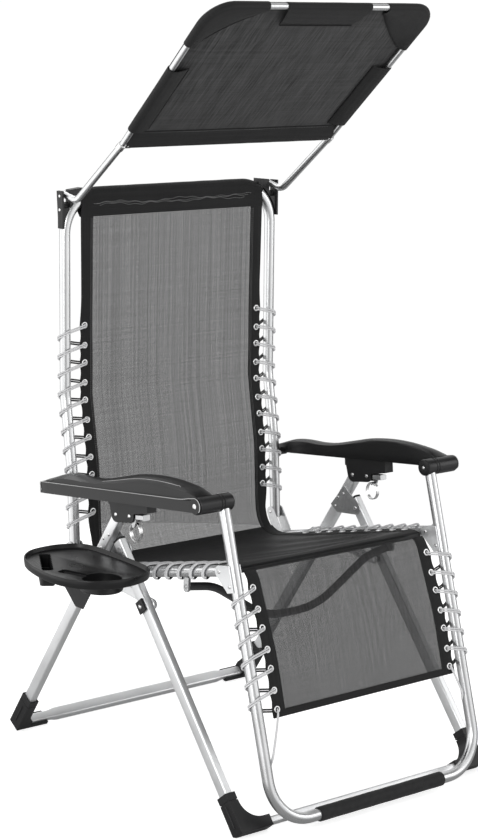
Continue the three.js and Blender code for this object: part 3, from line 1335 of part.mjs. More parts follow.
function tray() {
  const plate = traySlab(0, TRAY_TOP - TRAY_DEEP, TRAY_TOP);
  const floorTop = TRAY_TOP - TRAY_FLOOR;
  const inside = traySlab(-TRAY_WALL, floorTop, TRAY_TOP + OVERRUN);
  const upright = (low, high, radius) => {
    return rod(side(cupMiddle.y, low, cupMiddle.x), side(cupMiddle.y, high, cupMiddle.x), radius, LOBE_SIDES);
  };
  const floorLow = TRAY_TOP - CUP_DEEP;
  const bowl = upright(floorLow, floorTop, CUP_R);
  const cup = upright(floorLow + TRAY_WALL, TRAY_TOP, CUP_R - TRAY_WALL);
  const wall = 2 * TRAY_WALL;
  const [slotX, slotY] = [TRAY_X - SLOT_SHIFT, trayMiddle.y + SLOT_BEHIND];
  const pocket = trayRecess(slotX, slotY, SLOT_LONG + wall, SLOT_WIDE + wall, SLOT_TURN_ANGLE,
    TRAY_TOP - SLOT_DEEP - TRAY_WALL, floorTop);
  const slot = trayRecess(slotX, slotY, SLOT_LONG, SLOT_WIDE, SLOT_TURN_ANGLE,
    TRAY_TOP - SLOT_DEEP, TRAY_TOP);
  const notch = trayRecess(cupMiddle.x - NOTCH_SHIFT, cupMiddle.y + NOTCH_LONG / 2, NOTCH_LONG, NOTCH_WIDE,
    NOTCH_TURN_ANGLE, floorTop - NOTCH_DEEP, TRAY_TOP);
  return cut(join(cut(plate, inside), bowl, pocket), cup, slot, notch);
}

function trayClip() {
  const top = TRAY_TOP - TRAY_DEEP - GAP;
  const offset = (height, ahead) => {
    const centre = onRearLeg(height);
    return new THREE.Vector2(centre.y - ahead, height);
  };
  const outline = new THREE.Shape([
    offset(CLIP_LOW, CLIP_TOE), offset(CLIP_LOW, CLIP_FRONT), offset(CLIP_KNEE, CLIP_FRONT),
    offset(top, CLIP_FRONT), offset(top, -CLIP_TOP_BACK), offset(CLIP_KNEE, -CLIP_BACK),
  ]);
  const outer = -LEG_OUTER - GAP - CLIP_WALL;
  const plate = sideSlab(outline, outer, outer + CLIP_WALL);
  const front = square(rearUp);
  const hook = [-1, 1].map((sign) => {
    const place = sign * (LEG_WIDE / 2 + GAP + CLIP_WALL / 2);
    const from = along(onRearLeg(CLIP_KNEE - CLIP_LIP), front, place);
    const to = along(onRearLeg(CLIP_KNEE + 2 * CLIP_LIP), front, place);
    const x = outer + (CLIP_LIP + CLIP_WALL) / 2;
    return legBar(atX(from, x), atX(to, x), CLIP_WALL, CLIP_LIP + CLIP_WALL, CLIP_WALL / 4);
  });
  const high = onRearLeg(top);
  const shelf = new THREE.BoxGeometry(CLIP_SHELF, CLIP_SHELF, CLIP_SHELF_THICK);
  shelf.translate(outer + CLIP_WALL - CLIP_SHELF / 2, high.y, top - CLIP_SHELF_THICK / 2);
  return join(plate, ...hook, shelf);
}

legs();
addPair("hinge_plate", hingePlate(), steel);
addPair("seat_pin", seatPinPiece(), steel);
addPair("fold_stay", stay(), aluminium);
addPair("stay_bushing", stayBushing(), blackPlastic);
addPair("seat_rail", seatRail(), aluminium);
addPair("rail_end_plate", railEndPlate(), steel);
add("seat_front_bar", seatFrontBar(), darkSteel);
add("curved_cross_bar", curvedCrossBar(), darkSteel);
add("back_frame", backFrame(), aluminium);
add("leg_frame", legFrame(), aluminium);
add("foam_grip", foamGrip(), foam);
addPair("knee_fork", kneeFork(), steel);
addPair("armrest_barrel", armrestBarrel(), blackPlastic);
addPair("armrest", armrest(), armPlastic);
addPair("lock_bracket", lockBracket(), blackPlastic);
addPair("lock_clamp", lockClamp(), steel);
addPair("lock_ring", lockRing(), steel);
add("back_sling", backSling(), backMesh);
add("seat_sling", seatSling(), seatMesh);
add("leg_sling", legSling(), backMesh);
laceAll();
addPair("canopy_gusset", canopyGusset(), blackPlastic);
addPair("canopy_arm", canopyArm(), aluminium);
add("canopy_frame", canopyFrame(), aluminium);
add("canopy_rear_bar", canopyRearBar(), aluminium);
add("canopy_fabric", canopyFabric(), canopyMesh);
add("tray", tray(), trayPlastic);
add("tray_clip", trayClip(), blackPlastic);

// The origin is under the middle of the whole lounger, on the floor
const box = new THREE.Box3().setFromObject(lounger, true);
const middle = box.getCenter(new THREE.Vector3());
lounger.position.set(-middle.x, -middle.y, -box.min.z);

export default lounger;
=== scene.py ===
"""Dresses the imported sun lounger: slings, lacing, canopy cover, smooth tubes, mouldings and a studio."""

import json
import math

import bpy
from bpy.props import FloatProperty, FloatVectorProperty, PointerProperty
from mathutils import Matrix, Vector, geometry, noise


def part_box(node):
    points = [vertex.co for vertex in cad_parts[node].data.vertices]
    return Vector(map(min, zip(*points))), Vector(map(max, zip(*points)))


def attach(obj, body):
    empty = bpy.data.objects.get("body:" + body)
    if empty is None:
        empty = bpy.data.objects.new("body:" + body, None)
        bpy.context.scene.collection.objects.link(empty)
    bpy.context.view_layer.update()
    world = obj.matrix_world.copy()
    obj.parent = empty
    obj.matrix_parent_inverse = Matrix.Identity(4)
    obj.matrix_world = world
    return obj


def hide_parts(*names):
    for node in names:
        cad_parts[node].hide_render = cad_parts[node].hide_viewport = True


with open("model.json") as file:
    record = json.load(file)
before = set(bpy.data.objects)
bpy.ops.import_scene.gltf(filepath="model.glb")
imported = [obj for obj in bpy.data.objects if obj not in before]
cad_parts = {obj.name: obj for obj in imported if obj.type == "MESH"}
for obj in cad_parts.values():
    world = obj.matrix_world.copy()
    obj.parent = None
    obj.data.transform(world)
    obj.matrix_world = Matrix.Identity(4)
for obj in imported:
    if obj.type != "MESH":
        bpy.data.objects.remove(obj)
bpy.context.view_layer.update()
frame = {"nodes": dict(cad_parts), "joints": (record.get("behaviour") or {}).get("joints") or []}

bl_info = {
    "name": "Sun Lounger Dressing",
    "version": (1, 0, 0),
    "blender": (4, 5, 0),
    "location": "View3D > Sidebar > Lounger",
    "description": "Builds the cloth, lacing, tubes, mouldings and studio of a folding sun lounger",
    "category": "Object",
}

MM = 0.001
X, Y, UP = Vector((1, 0, 0)), Vector((0, 1, 0)), Vector((0, 0, 1))
DOWN = Vector((0, 0, -1))
SIDES = (("left", 1), ("right", -1))


# Directions and points of the side plane, in millimetres, as the part's source has them
def leaning(degrees):
    angle = math.radians(degrees)
    return Vector((0, math.sin(angle), math.cos(angle)))


def square(direction):
    return X.cross(direction)


def along(point, direction, distance):
    return point + direction * distance


def at_x(point, x):
    return Vector((x, point.y, point.z))


def side(y, z):
    return Vector((0, y, z))


def mirrored(point):
    return Vector((-point.x, point.y, point.z))


# The skeleton of the part's source
FRAME_X, LEG_X, ARM_X = 266.5, 309, 310.5
TUBE_R = 11
GAP, TURN_GAP = 0.3, 0.6
REAR_LEAN, REAR_TREAD, FRONT_LEAN = 32.9, 431, 39.7
LEG_WIDE, LEG_THICK, LEG_CORNER = 25, 16, 3.5
LEG_OUTER = LEG_X + LEG_THICK / 2
REAR_UP, FRONT_UP = leaning(-REAR_LEAN), leaning(FRONT_LEAN)
PIN_HEIGHT, HINGE_HEIGHT, LOCK_HEIGHT = 389, 464, 534
HINGE_AHEAD = 57


def on_rear_leg(height):
    return along(side(REAR_TREAD, 0), REAR_UP, height / REAR_UP.z)


SEAT_PIN = on_rear_leg(PIN_HEIGHT)
LOCK_PIVOT = on_rear_leg(LOCK_HEIGHT)
LEG_HINGE = side(on_rear_leg(HINGE_HEIGHT).y - HINGE_AHEAD, HINGE_HEIGHT)


def on_front_leg(height):
    return along(LEG_HINGE, FRONT_UP, (height - LEG_HINGE.z) / FRONT_UP.z)


ARM_RISE, CRANK_LEAN, LEG_REST_LEAN = 7.24, 2.4, 17.15
KNEE_AHEAD, HIP_BEHIND, PIVOT_RISE, CRANK = 368.4, 107.8, 41, 129.5
ARM_FORWARD, ARM_NORMAL = leaning(ARM_RISE - 90), leaning(ARM_RISE)
KNEE = along(along(SEAT_PIN, ARM_NORMAL, PIVOT_RISE), ARM_FORWARD, KNEE_AHEAD)
HIP = along(along(SEAT_PIN, ARM_NORMAL, PIVOT_RISE), ARM_FORWARD, -HIP_BEHIND)
CRANK_UP = leaning(ARM_RISE - CRANK_LEAN)
ARM_FRONT, ARM_REAR = along(KNEE, CRANK_UP, CRANK), along(HIP, CRANK_UP, CRANK)
ARM_LENGTH = KNEE_AHEAD + HIP_BEHIND
RAIL_BACK = (SEAT_PIN - KNEE).normalized()
RAIL_UP = square(RAIL_BACK)
RAIL_PIN = (SEAT_PIN - KNEE).length
LEG_DOWN = -leaning(LEG_REST_LEAN)
LEG_FRONT = -square(LEG_DOWN)
LEG_LENGTH = 605
ARM_HALF, ARM_TOP, ARM_BEYOND, BARREL_R = 23.5, 10, 6, 16.5
PLATE = 2.2


def on_rail(distance, rise=0):
    return along(along(KNEE, RAIL_BACK, distance), RAIL_UP, rise)


def on_leg_rest(distance, rise=0):
    return along(along(ARM_FRONT, LEG_DOWN, distance), LEG_FRONT, rise)


BACK_LOW, BACK_MID, BACK_HIGH = leaning(4.8), leaning(10.4), leaning(1.9)
BACK_TALL, LOW_RUN, MID_RUN, TAIL_RUN = 704, 153, 152, 12
TOP_BEND = 80
BACK_TAIL = along(HIP, BACK_LOW, -TAIL_RUN)
BACK_A = along(HIP, BACK_LOW, LOW_RUN)
BACK_B = along(BACK_A, BACK_MID, MID_RUN)
BACK_TOP = along(BACK_B, BACK_HIGH, (BACK_TALL - (BACK_B.z - HIP.z)) / BACK_HIGH.z)
BACK_RUNS = ((HIP, BACK_A), (BACK_A, BACK_B), (BACK_B, BACK_TOP))
BACK_TOTAL = sum((b - a).length for a, b in BACK_RUNS)


def on_back(distance):
    """The tube's centre, its normal towards the sitter and its direction, from the hip pivot upwards."""
    left = distance
    for start, end in BACK_RUNS:
        length = (end - start).length
        if left <= length or end is BACK_TOP:
            direction = (end - start).normalized()
            return along(start, direction, left), square(direction), direction
        left -= length


CANOPY_X, CANOPY_R, CANOPY_ARM_R = 266, 6.2, 7
CANOPY_LENGTH, CANOPY_CORNER, CANOPY_FLARE = 385, 50, 12
CANOPY_RISE, CANOPY_ARM_RISE, NECK_DROP = 44.4, 40.2, 11.3
NECK_RUN, CANOPY_ARM_RUN = 40.8, 191
CANOPY_PIVOT = BACK_TOP
CANOPY_UP, CANOPY_NORMAL = leaning(CANOPY_RISE - 90), leaning(CANOPY_RISE)
CANOPY_ARM_UP = leaning(CANOPY_ARM_RISE - 90)
CANOPY_NECK = along(CANOPY_PIVOT, leaning(-90 - NECK_DROP), NECK_RUN)
CANOPY_ROOT = along(CANOPY_NECK, CANOPY_ARM_UP, CANOPY_ARM_RUN)


def on_canopy(distance, rise=0, x=0):
    return at_x(along(along(CANOPY_ROOT, CANOPY_UP, distance), CANOPY_NORMAL, rise), x)


def frame_shift():
    """Where the part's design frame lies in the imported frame, in millimetres."""
    pin = next(joint for joint in frame["joints"] if joint["name"] == "seat_tilt")["pos_m"]
    left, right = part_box("rear_leg_left"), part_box("rear_leg_right")
    middle = (left[0].x + left[1].x + right[0].x + right[1].x) / 4
    return Vector((middle / MM, pin[1] / MM - SEAT_PIN.y, pin[2] / MM - SEAT_PIN.z))


SHIFT = frame_shift()


def metres(point):
    return (point + SHIFT) * MM


# Mesh making
def linked(name, data):
    """A new object in the scene's collection."""
    made = bpy.data.objects.new(name, data)
    bpy.context.scene.collection.objects.link(made)
    return made


class Form:
    """Points in the design frame, faces and their UVs in metres, gathered into one mesh."""

    def __init__(self):
        self.points, self.faces, self.uvs, self.slots = [], [], [], []

    def add(self, points, faces, uvs=None, slot=0):
        base = len(self.points)
        self.points += points
        for i, face in enumerate(faces):
            self.faces.append([base + k for k in face])
            self.uvs.append(uvs[i] if uvs else [(points[k].x * MM, points[k].z * MM) for k in face])
            self.slots.append(slot)
        return self

    def mirror(self):
        """The same form again on the other side of the middle plane."""
        other = Form()
        other.add([mirrored(p) for p in self.points], [list(reversed(f)) for f in self.faces])
        other.uvs = [list(reversed(uv)) for uv in self.uvs]
        other.slots = list(self.slots)
        return other

    def mesh(self, name, materials=(), sharp=35):
        data = bpy.data.meshes.new(name)
        data.from_pydata([metres(p) for p in self.points], [], self.faces)
        layer = data.uv_layers.new(name="weave")
        for polygon, uvs, slot in zip(data.polygons, self.uvs, self.slots):
            polygon.material_index = slot
            for loop, uv in zip(polygon.loop_indices, uvs):
                layer.data[loop].uv = uv
        for material in materials:
            data.materials.append(material)
        data.validate()
        data.shade_smooth()
        data.set_sharp_from_angle(angle=math.radians(sharp))
        return linked(name, data)


def piece(form, name, body, materials, nodes=(), sharp=35, bevel=0):
    """A finished piece: made, rounded, riding on its body and standing for its CAD nodes."""
    made = form.mesh(name, materials, sharp)
    if bevel:
        round_edges(made, bevel)
    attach(made, body)
    if nodes:
        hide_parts(*nodes)
    return made


def pair(form, name, bodies, materials, nodes=(), sharp=35, bevel=0):
    """A piece drawn on the sitter's left, and its mirror image on the right; bodies may hold {side}."""
    for text, sign in SIDES:
        shape = form if sign > 0 else form.mirror()
        piece(shape, f"{name}_{text}", bodies.format(side=text), materials,
              [f"{node}_{text}" for node in nodes], sharp, bevel)


def round_edges(made, width):
    rounding = made.modifiers.new("rounded edges", "BEVEL")
    rounding.width = width * MM
    rounding.segments = 2
    rounding.limit_method = "ANGLE"
    rounding.angle_limit = math.radians(32)


def arc_length(line):
    lengths = [0.0]
    for a, b in zip(line, line[1:]):
        lengths.append(lengths[-1] + (b - a).length)
    return lengths


def across(axis):
    """Two directions square to an axis and to each other."""
    u = X if abs(axis.x) < 0.9 else UP
    u = (u - axis * u.dot(axis)).normalized()
    return u, axis.cross(u)


def frames(line):
    """Pairs of directions square to a line at its points, carried without twist."""
    tangents = []
    for i in range(len(line)):
        a, b = line[max(i - 1, 0)], line[min(i + 1, len(line) - 1)]
        tangents.append((b - a).normalized())
    u, _ = across(tangents[0])
    out = []
    for tangent in tangents:
        u = (u - tangent * u.dot(tangent)).normalized()
        out.append((u, tangent.cross(u)))
    return out


def arc(x, y, r, start, sweep, steps):
    """An arc round (x, y) as pairs, from a start angle through a sweep."""
    angles = [start + sweep * k / steps for k in range(steps + 1)]
    return [(x + r * math.cos(a), y + r * math.sin(a)) for a in angles]


def circle(middle, u, v, r, sides):
    angles = [math.tau * k / sides for k in range(sides)]
    return [middle + (u * math.cos(a) + v * math.sin(a)) * r for a in angles]


def skin(form, rings, caps=True, slot=0):
    """Quads through rings of equal count; UV runs round the ring and along the row, in metres."""
    count = len(rings[0])
    lengths = arc_length([sum(ring, Vector()) / count for ring in rings])
    widest = rings[len(rings) // 2]
    around = arc_length(widest + [widest[0]])
    points = [p for ring in rings for p in ring]
    faces, uvs = [], []
    for i in range(len(rings) - 1):
        v0, v1 = lengths[i] * MM, lengths[i + 1] * MM
        for k in range(count):
            n = (k + 1) % count
            faces.append([i * count + k, i * count + n, (i + 1) * count + n, (i + 1) * count + k])
            u0, u1 = around[k] * MM, around[k + 1] * MM
            uvs.append([(u0, v0), (u1, v0), (u1, v1), (u0, v1)])
    if caps:
        for face in (list(range(count))[::-1], [len(points) - count + k for k in range(count)]):
            faces.append(face)
            uvs.append([(points[k].x * MM, points[k].z * MM) for k in face])
    return form.add(points, faces, uvs, slot)


def tube(form, line, radius, sides=24, slot=0, edge=0.0):
    """A round tube along a line, with a small rounded edge at each end."""
    radii = [radius] * len(line)
    if edge:
        head, tail = (line[1] - line[0]).normalized(), (line[-1] - line[-2]).normalized()
        line = [line[0], along(line[0], head, edge), *line[1:-1], along(line[-1], tail, -edge), line[-1]]
        radii = [radius - edge] + radii + [radius - edge]
    rings = [circle(p, u, v, r, sides) for p, (u, v), r in zip(line, frames(line), radii)]
    return skin(form, rings, slot=slot)


def bent(corners, radii, steps=20):
    """A line whose inner corners are arcs, as a tube bender leaves them; steps are per quarter turn."""
    line = [corners[0]]
    for i in range(1, len(corners) - 1):
        into = (corners[i] - corners[i - 1]).normalized()
        out = (corners[i + 1] - corners[i]).normalized()
        turn, r = into.angle(out), radii[i - 1]
        start = along(corners[i], into, -r * math.tan(turn / 2))
        inward = (out - into * out.dot(into)).normalized()
        centre = along(start, inward, r)
        count = max(round(steps * turn / (math.pi / 2)), 3)
        for k in range(count + 1):
            a = turn * k / count
            line.append(centre - inward * (math.cos(a) * r) + into * (math.sin(a) * r))
    line.append(corners[-1])
    return line


def divided(line, step):
    """The same line with no stretch longer than a step."""
    out = [line[0]]
    for a, b in zip(line, line[1:]):
        parts = max(math.ceil((b - a).length / step), 1)
        out += [a.lerp(b, k / parts) for k in range(1, parts + 1)]
    return out


def spaced(line, count):
    """Points at even distances along a line."""
    lengths = arc_length(line)
    out, i = [], 0
    for k in range(count):
        target = lengths[-1] * k / (count - 1)
        while i < len(line) - 2 and lengths[i + 1] < target:
            i += 1
        stretch = lengths[i + 1] - lengths[i]
        out.append(line[i].lerp(line[i + 1], (target - lengths[i]) / stretch if stretch else 0))
    return out


def smoothed(line, times):
    """Rounds a line's corners and leaves its ends."""
    for _ in range(times):
        line = [line[0]] + [(a + b * 2 + c) / 4 for a, b, c in zip(line, line[1:], line[2:])] + [line[-1]]
    return line


def catmull(points, steps, closed=False):
    """A smooth curve through points of any dimension, given as vectors."""
    count, out = len(points), []
    for i in range(count if closed else count - 1):
        a = points[(i - 1) % count] if closed else points[max(i - 1, 0)]
        b, c = points[i % count], points[(i + 1) % count]
        d = points[(i + 2) % count] if closed else points[min(i + 2, count - 1)]
        for k in range(steps):
            t = k / steps
            out.append(0.5 * (b * 2 + (c - a) * t + (a * 2 - b * 5 + c * 4 - d) * t * t
                              + (b * 3 - a - c * 3 + d) * t * t * t))
    if not closed:
        out.append(points[-1])
    return out


def rounded_rectangle(wide, tall, corner, steps=5):
    x, y = wide / 2 - corner, tall / 2 - corner
    out = []
    for quarter, (cx, cy) in enumerate(((x, y), (-x, y), (-x, -y), (x, -y))):
        out += arc(cx, cy, corner, math.radians(90 * quarter), math.pi / 2, steps)
    return out


def slab(form, outline, origin, u, v, depth, slot=0):
    """A plate with a flat outline of (u, v) pairs, as thick as depth towards u cross v."""
    low = [origin + u * a + v * b for a, b in outline]
    high = [p + u.cross(v) * depth for p in low]
    count = len(low)
    faces = [list(range(count))[::-1], [count + k for k in range(count)]]
    faces += [[k, (k + 1) % count, count + (k + 1) % count, count + k] for k in range(count)]
    return form.add(low + high, faces, slot=slot)


def bar(form, start, end, wide_dir, wide, thick, corner, steps=5, shares=((0, 1, 1), (1, 1, 1))):
    """A rectangular tube with rounded corners; shares give its section's size along it."""
    direction, w = (end - start).normalized(), wide_dir.normalized()
    t = direction.cross(w)
    section = rounded_rectangle(wide, thick, corner, steps)
    return skin(form, [[start.lerp(end, share) + w * (x * a) + t * (y * b) for x, y in section]
                       for share, a, b in shares])


def turned(form, profile, origin, axis, sides=32, slot=0):
    """A turned piece from (radius, distance) pairs along an axis."""
    axis = axis.normalized()
    u, v = across(axis)
    rings = [circle(origin + axis * distance, u, v, max(r, 0.01), sides) for r, distance in profile]
    return skin(form, rings, slot=slot)


def carve(target, tools, operation="DIFFERENCE"):
    """Cuts closed meshes out of another for good, and removes them."""
    for tool in tools:
        step = target.modifiers.new("cut", "BOOLEAN")
        step.operation, step.object, step.solver = operation, tool, "EXACT"
    bpy.context.view_layer.update()
    evaluated = target.evaluated_get(bpy.context.evaluated_depsgraph_get())
    data = bpy.data.meshes.new_from_object(evaluated)
    target.modifiers.clear()
    target.data = data
    for tool in tools:
        bpy.data.objects.remove(tool)
    return target


def add_to(target, tools):
    return carve(target, tools, "UNION")


def form_of(made):
    """Takes a finished mesh back into the design frame and removes its object."""
    points = [v.co / MM - SHIFT for v in made.data.vertices]
    faces = [list(p.vertices) for p in made.data.polygons]
    bpy.data.objects.remove(made)
    return Form().add(points, faces)


def thick_sheet(form, outer_rows, inner_rows):
    """A closed sheet between two grids of the same size."""
    rows, count = len(outer_rows), len(outer_rows[0])
    lengths = arc_length([row[count // 2] for row in outer_rows])
    widths = arc_length(outer_rows[rows // 2])
    points = [p for row in outer_rows + inner_rows for p in row]
    base, faces = rows * count, []

    def uv(index):
        index %= base
        return (widths[index % count] * MM, lengths[index // count] * MM)

    for i in range(rows - 1):
        for k in range(count - 1):
            a = i * count + k
            quad = [a, a + 1, a + count + 1, a + count]
            faces += [quad, [base + q for q in reversed(quad)]]
    for i in range(rows - 1):
        for k in (0, count - 1):
            a = i * count + k
            quad = [a, a + count, base + a + count, base + a]
            faces.append(quad if k == 0 else quad[::-1])
    for k in range(count - 1):
        for i in (0, rows - 1):
            a = i * count + k
            quad = [a, base + a, base + a + 1, a + 1]
            faces.append(quad if i == 0 else quad[::-1])
    return form.add(points, faces, [[uv(q) for q in face] for face in faces])


def flat_spaced(points, count):
    return [(p.x, p.y) for p in spaced([Vector((x, t, 0)) for x, t in points], count)]


def inside_outline(x, t, outline, margin):
    """Whether a point lies inside a closed outline, clear of its edge."""
    inside = False
    for (ax, at), (bx, bt) in zip(outline, outline[1:] + outline[:1]):
        if (at > t) != (bt > t) and x < (bx - ax) * (t - at) / (bt - at) + ax:
            inside = not inside
        if abs(ax - x) < margin and abs(at - t) < margin:
            return False
    return inside


def rivet(form, place, axis, radius, height):
    """A domed rivet head that stands on a face."""
    profile = [(radius, -0.4), (radius, 0.15 * height), (radius * 0.94, 0.5 * height),
               (radius * 0.75, 0.8 * height), (radius * 0.42, 0.96 * height), (0, height)]
    return turned(form, profile, place, axis, 18)


def rivet_heads(name, bodies, heads):
    """Rivet heads, as (place, axis, radius, height), on both sides of the lounger."""
    form = Form()
    for head in heads:
        rivet(form, *head)
    pair(form, name, bodies, finish("bright"))


# Materials
def shades(colour, *factors):
    """A colour made darker or lighter by each factor."""
    return [tuple(Vector(colour) * factor) for factor in factors]


class Nodes:
    """Short calls for a node tree."""

    def __init__(self, tree):
        self.nodes, self.links = tree.nodes, tree.links

    def feed(self, socket, value):
        """Links a socket to another node's output, or gives it a value."""
        if hasattr(value, "links"):
            self.links.new(value, socket)
        else:
            socket.default_value = value

    def node(self, kind, inputs=(), **values):
        made = self.nodes.new("ShaderNode" + kind)
        for key, value in values.items():
            setattr(made, key, value)
        for key, value in dict(inputs).items():
            self.feed(made.inputs[key], value)
        return made


class Finish(Nodes):
    """A material's node tree with short calls for what a finish needs."""

    def __init__(self, name, colour=None):
        self.material = bpy.data.materials.new(name)
        self.material.use_nodes = True
        super().__init__(self.material.node_tree)
        self.shader = next(n for n in self.nodes if n.type == "BSDF_PRINCIPLED")
        if colour:
            self.material.diffuse_color = (*colour, 1)

    def set(self, **values):
        for key, value in values.items():
            self.feed(self.shader.inputs[key.replace("_", " ")], value)

    def grain(self, scale, detail=3.0, rough=0.5, source="Object", **turn):
        """Noise on coordinates that are stretched by a scale in each direction."""
        where = self.node("TexCoord").outputs[source]
        place = self.node("Mapping", {"Vector": where, "Scale": scale, **turn}).outputs["Vector"]
        return self.node("TexNoise", {"Vector": place, "Scale": 1.0, "Detail": detail, "Roughness": rough}
                         ).outputs["Fac"]

    def ramp(self, value, low, high, start=0.3, end=0.7):
        """Carries a value from one number or colour to another."""
        if isinstance(low, (int, float)):
            return self.node("MapRange", {"Value": value, "From Min": start, "From Max": end,
                                          "To Min": low, "To Max": high}).outputs["Result"]
        made = self.node("ValToRGB", {"Fac": value})
        for element, place, colour in zip(made.color_ramp.elements, (start, end), (low, high)):
            element.position, element.color = place, (*colour, 1)
        return made.outputs["Color"]

    def math(self, operation, a, b=0.0):
        made = self.node("Math", operation=operation)
        for socket, value in zip(made.inputs, (a, b)):
            self.feed(socket, value)
        return made.outputs["Value"]

    def mix(self, first, first_share, *others):
        """The sum of values, each times its share."""
        total = self.math("MULTIPLY", first, first_share)
        for value, share in others:
            total = self.math("ADD", total, self.math("MULTIPLY", value, share))
        return total

    def bump(self, height, strength, distance):
        made = self.node("Bump", {"Height": height, "Strength": strength, "Distance": distance})
        self.links.new(made.outputs["Normal"], self.shader.inputs["Normal"])
        return self.material


def satin_tube(name, roughness=0.27, bright=1.0):
    """Bright anodised aluminium with fine drawing lines along it."""
    colour = bpy.context.scene.lounger_finish.tube_colour
    f = Finish(name, colour)
    lines = f.grain((1400, 9, 1), 2.0, source="UV")
    haze = f.grain((14, 14, 14))
    dull, clean = shades(Vector(colour) * bright, 0.94, 1)
    f.set(Base_Color=f.ramp(haze, dull, clean, 0.35, 0.65), Metallic=1.0,
          Roughness=f.ramp(f.mix(lines, 0.5, (haze, 0.5)), roughness - 0.05, roughness + 0.09))
    return f.bump(lines, 0.05, 0.0002)


def stamped_metal(name, colour, roughness=0.34, metallic=1.0):
    """Zinc plated or painted sheet with a faint mottle."""
    f = Finish(name, colour)
    mottle = f.grain((160, 160, 160), 5.0)
    f.set(Base_Color=f.ramp(mottle, *shades(colour, 0.86, 1), 0.35, 0.65), Metallic=metallic,
          Roughness=f.ramp(mottle, roughness - 0.06, roughness + 0.1))
    return f.bump(f.grain((1800, 1800, 1800), 2.0), 0.025, 0.0002)


def moulded(name, colour, roughness, grain=0.12):
    """Moulded plastic: a fine grain, slight flow marks, and sharp edges painted a little paler as a
    highlight.
    """
    f = Finish(name, colour)
    flow = f.grain((22, 9, 22))
    # sharp, pointy edges get a paler colour: painted highlight
    edge_highlight_mask = f.ramp(f.node("NewGeometry").outputs["Pointiness"], 0.0, 1.0, 0.5, 0.58)
    dark, light, edge_highlight = shades(colour, 0.9, 1.08, 2.2)
    plain = f.ramp(flow, dark, light, 0.35, 0.65)
    tone = f.node("MixRGB", {"Fac": f.math("MULTIPLY", edge_highlight_mask, 0.35), "Color1": plain, "Color2": (*edge_highlight, 1)})
    f.set(Base_Color=tone.outputs["Color"], Roughness=f.ramp(flow, roughness - 0.04, roughness + 0.06),
          Specular_IOR_Level=0.32)
    return f.bump(f.grain((1500, 1500, 1500), 2.0), grain, 0.0003)


def woven(name, colour, open_share, pitch, streak=0.0, roughness=0.62, bump=0.25, slant=0.0, depth=0.4):
    """Coated open weave: crossed threads with real holes, a few warp streaks and a soft sheen."""
    f = Finish(name, colour)
    split = f.node("SeparateXYZ", {"Vector": f.node("TexCoord").outputs["UV"]})
    runs = [f.math("MULTIPLY", split.outputs[axis], 1 / (pitch * MM)) for axis in "XY"]
    warp = f.grain((420, 2.2, 1), 3.0, 0.6, "UV")
    weft = f.grain((2.2, 300, 1), 2.0, 0.6, "UV")
    cloud = f.grain((9 + slant, 9, 1), 2.0, source="UV")
    mixed = f.mix(warp, 0.55, (weft, 0.25), (cloud, 0.2))
    if streak:
        mark = f.grain((520, 26, 1), 3.0, 0.6, "UV", Rotation=(0, 0, math.radians(slant)))
        mixed = f.mix(mixed, 1 - streak, (mark, streak))
    tone = f.ramp(mixed, *shades(colour, 1 - depth, 1 + 1.1 * depth), 0.38, 0.62)
    f.set(Base_Color=tone, Roughness=roughness, Sheen_Weight=0.03, Sheen_Roughness=0.5,
          Specular_IOR_Level=0.2)
    if open_share:
        rim = 0.5 - 0.5 * open_share ** 0.5
        hole = f.math("MULTIPLY", *(f.ramp(f.math("PINGPONG", run, 0.5), 0.0, 1.0, rim - 0.04, rim + 0.04)
                                    for run in runs))
        loose = f.ramp(f.grain((300, 1.2, 1), 1.0, source="UV"), 0.8, 1.2)
        tight = f.ramp(f.grain((1.2, 260, 1), 1.0, source="UV"), 0.9, 1.1)
        sheer = f.math("ADD", f.math("MULTIPLY", hole, 0.5), 0.5 * open_share)
        clear = f.math("MULTIPLY", sheer, f.math("MULTIPLY", loose, tight))
        f.set(Alpha=f.math("SUBTRACT", 1.0, clear))
    threads = f.math("ADD", *(f.math("SINE", f.math("MULTIPLY", run, math.tau)) for run in runs))
    return f.bump(threads, bump, 0.0004)


def braided(name, colour, pitch=1.6):
    """A cord's woven sleeve: slanting strands round it."""
    f = Finish(name, colour)
    split = f.node("SeparateXYZ", {"Vector": f.node("TexCoord").outputs["UV"]})
    x, y = (f.math("MULTIPLY", split.outputs[axis], math.tau / (pitch * MM)) for axis in "XY")
    weave = f.math("MAXIMUM", *(f.math("SINE", f.math(operation, x, y)) for operation in ("ADD", "SUBTRACT")))
    f.set(Base_Color=f.ramp(weave, *shades(colour, 0.7, 1), -0.4, 0.8), Roughness=0.55, Sheen_Weight=0.1)
    return f.bump(weave, 0.35, 0.0003)


def foam_skin(name, colour):
    """Closed cell foam with a pitted skin."""
    f = Finish(name, colour)
    cells = f.node("TexVoronoi", {"Vector": f.node("TexCoord").outputs["Object"], "Scale": 420.0})
    pits = f.grain((90, 90, 90), 4.0)
    f.set(Base_Color=f.ramp(pits, *shades(colour, 0.8, 1.15), 0.35, 0.65), Roughness=0.7, Sheen_Weight=0.04,
          Specular_IOR_Level=0.3)
    return f.bump(f.math("ADD", cells.outputs["Distance"], pits), 0.3, 0.0006)


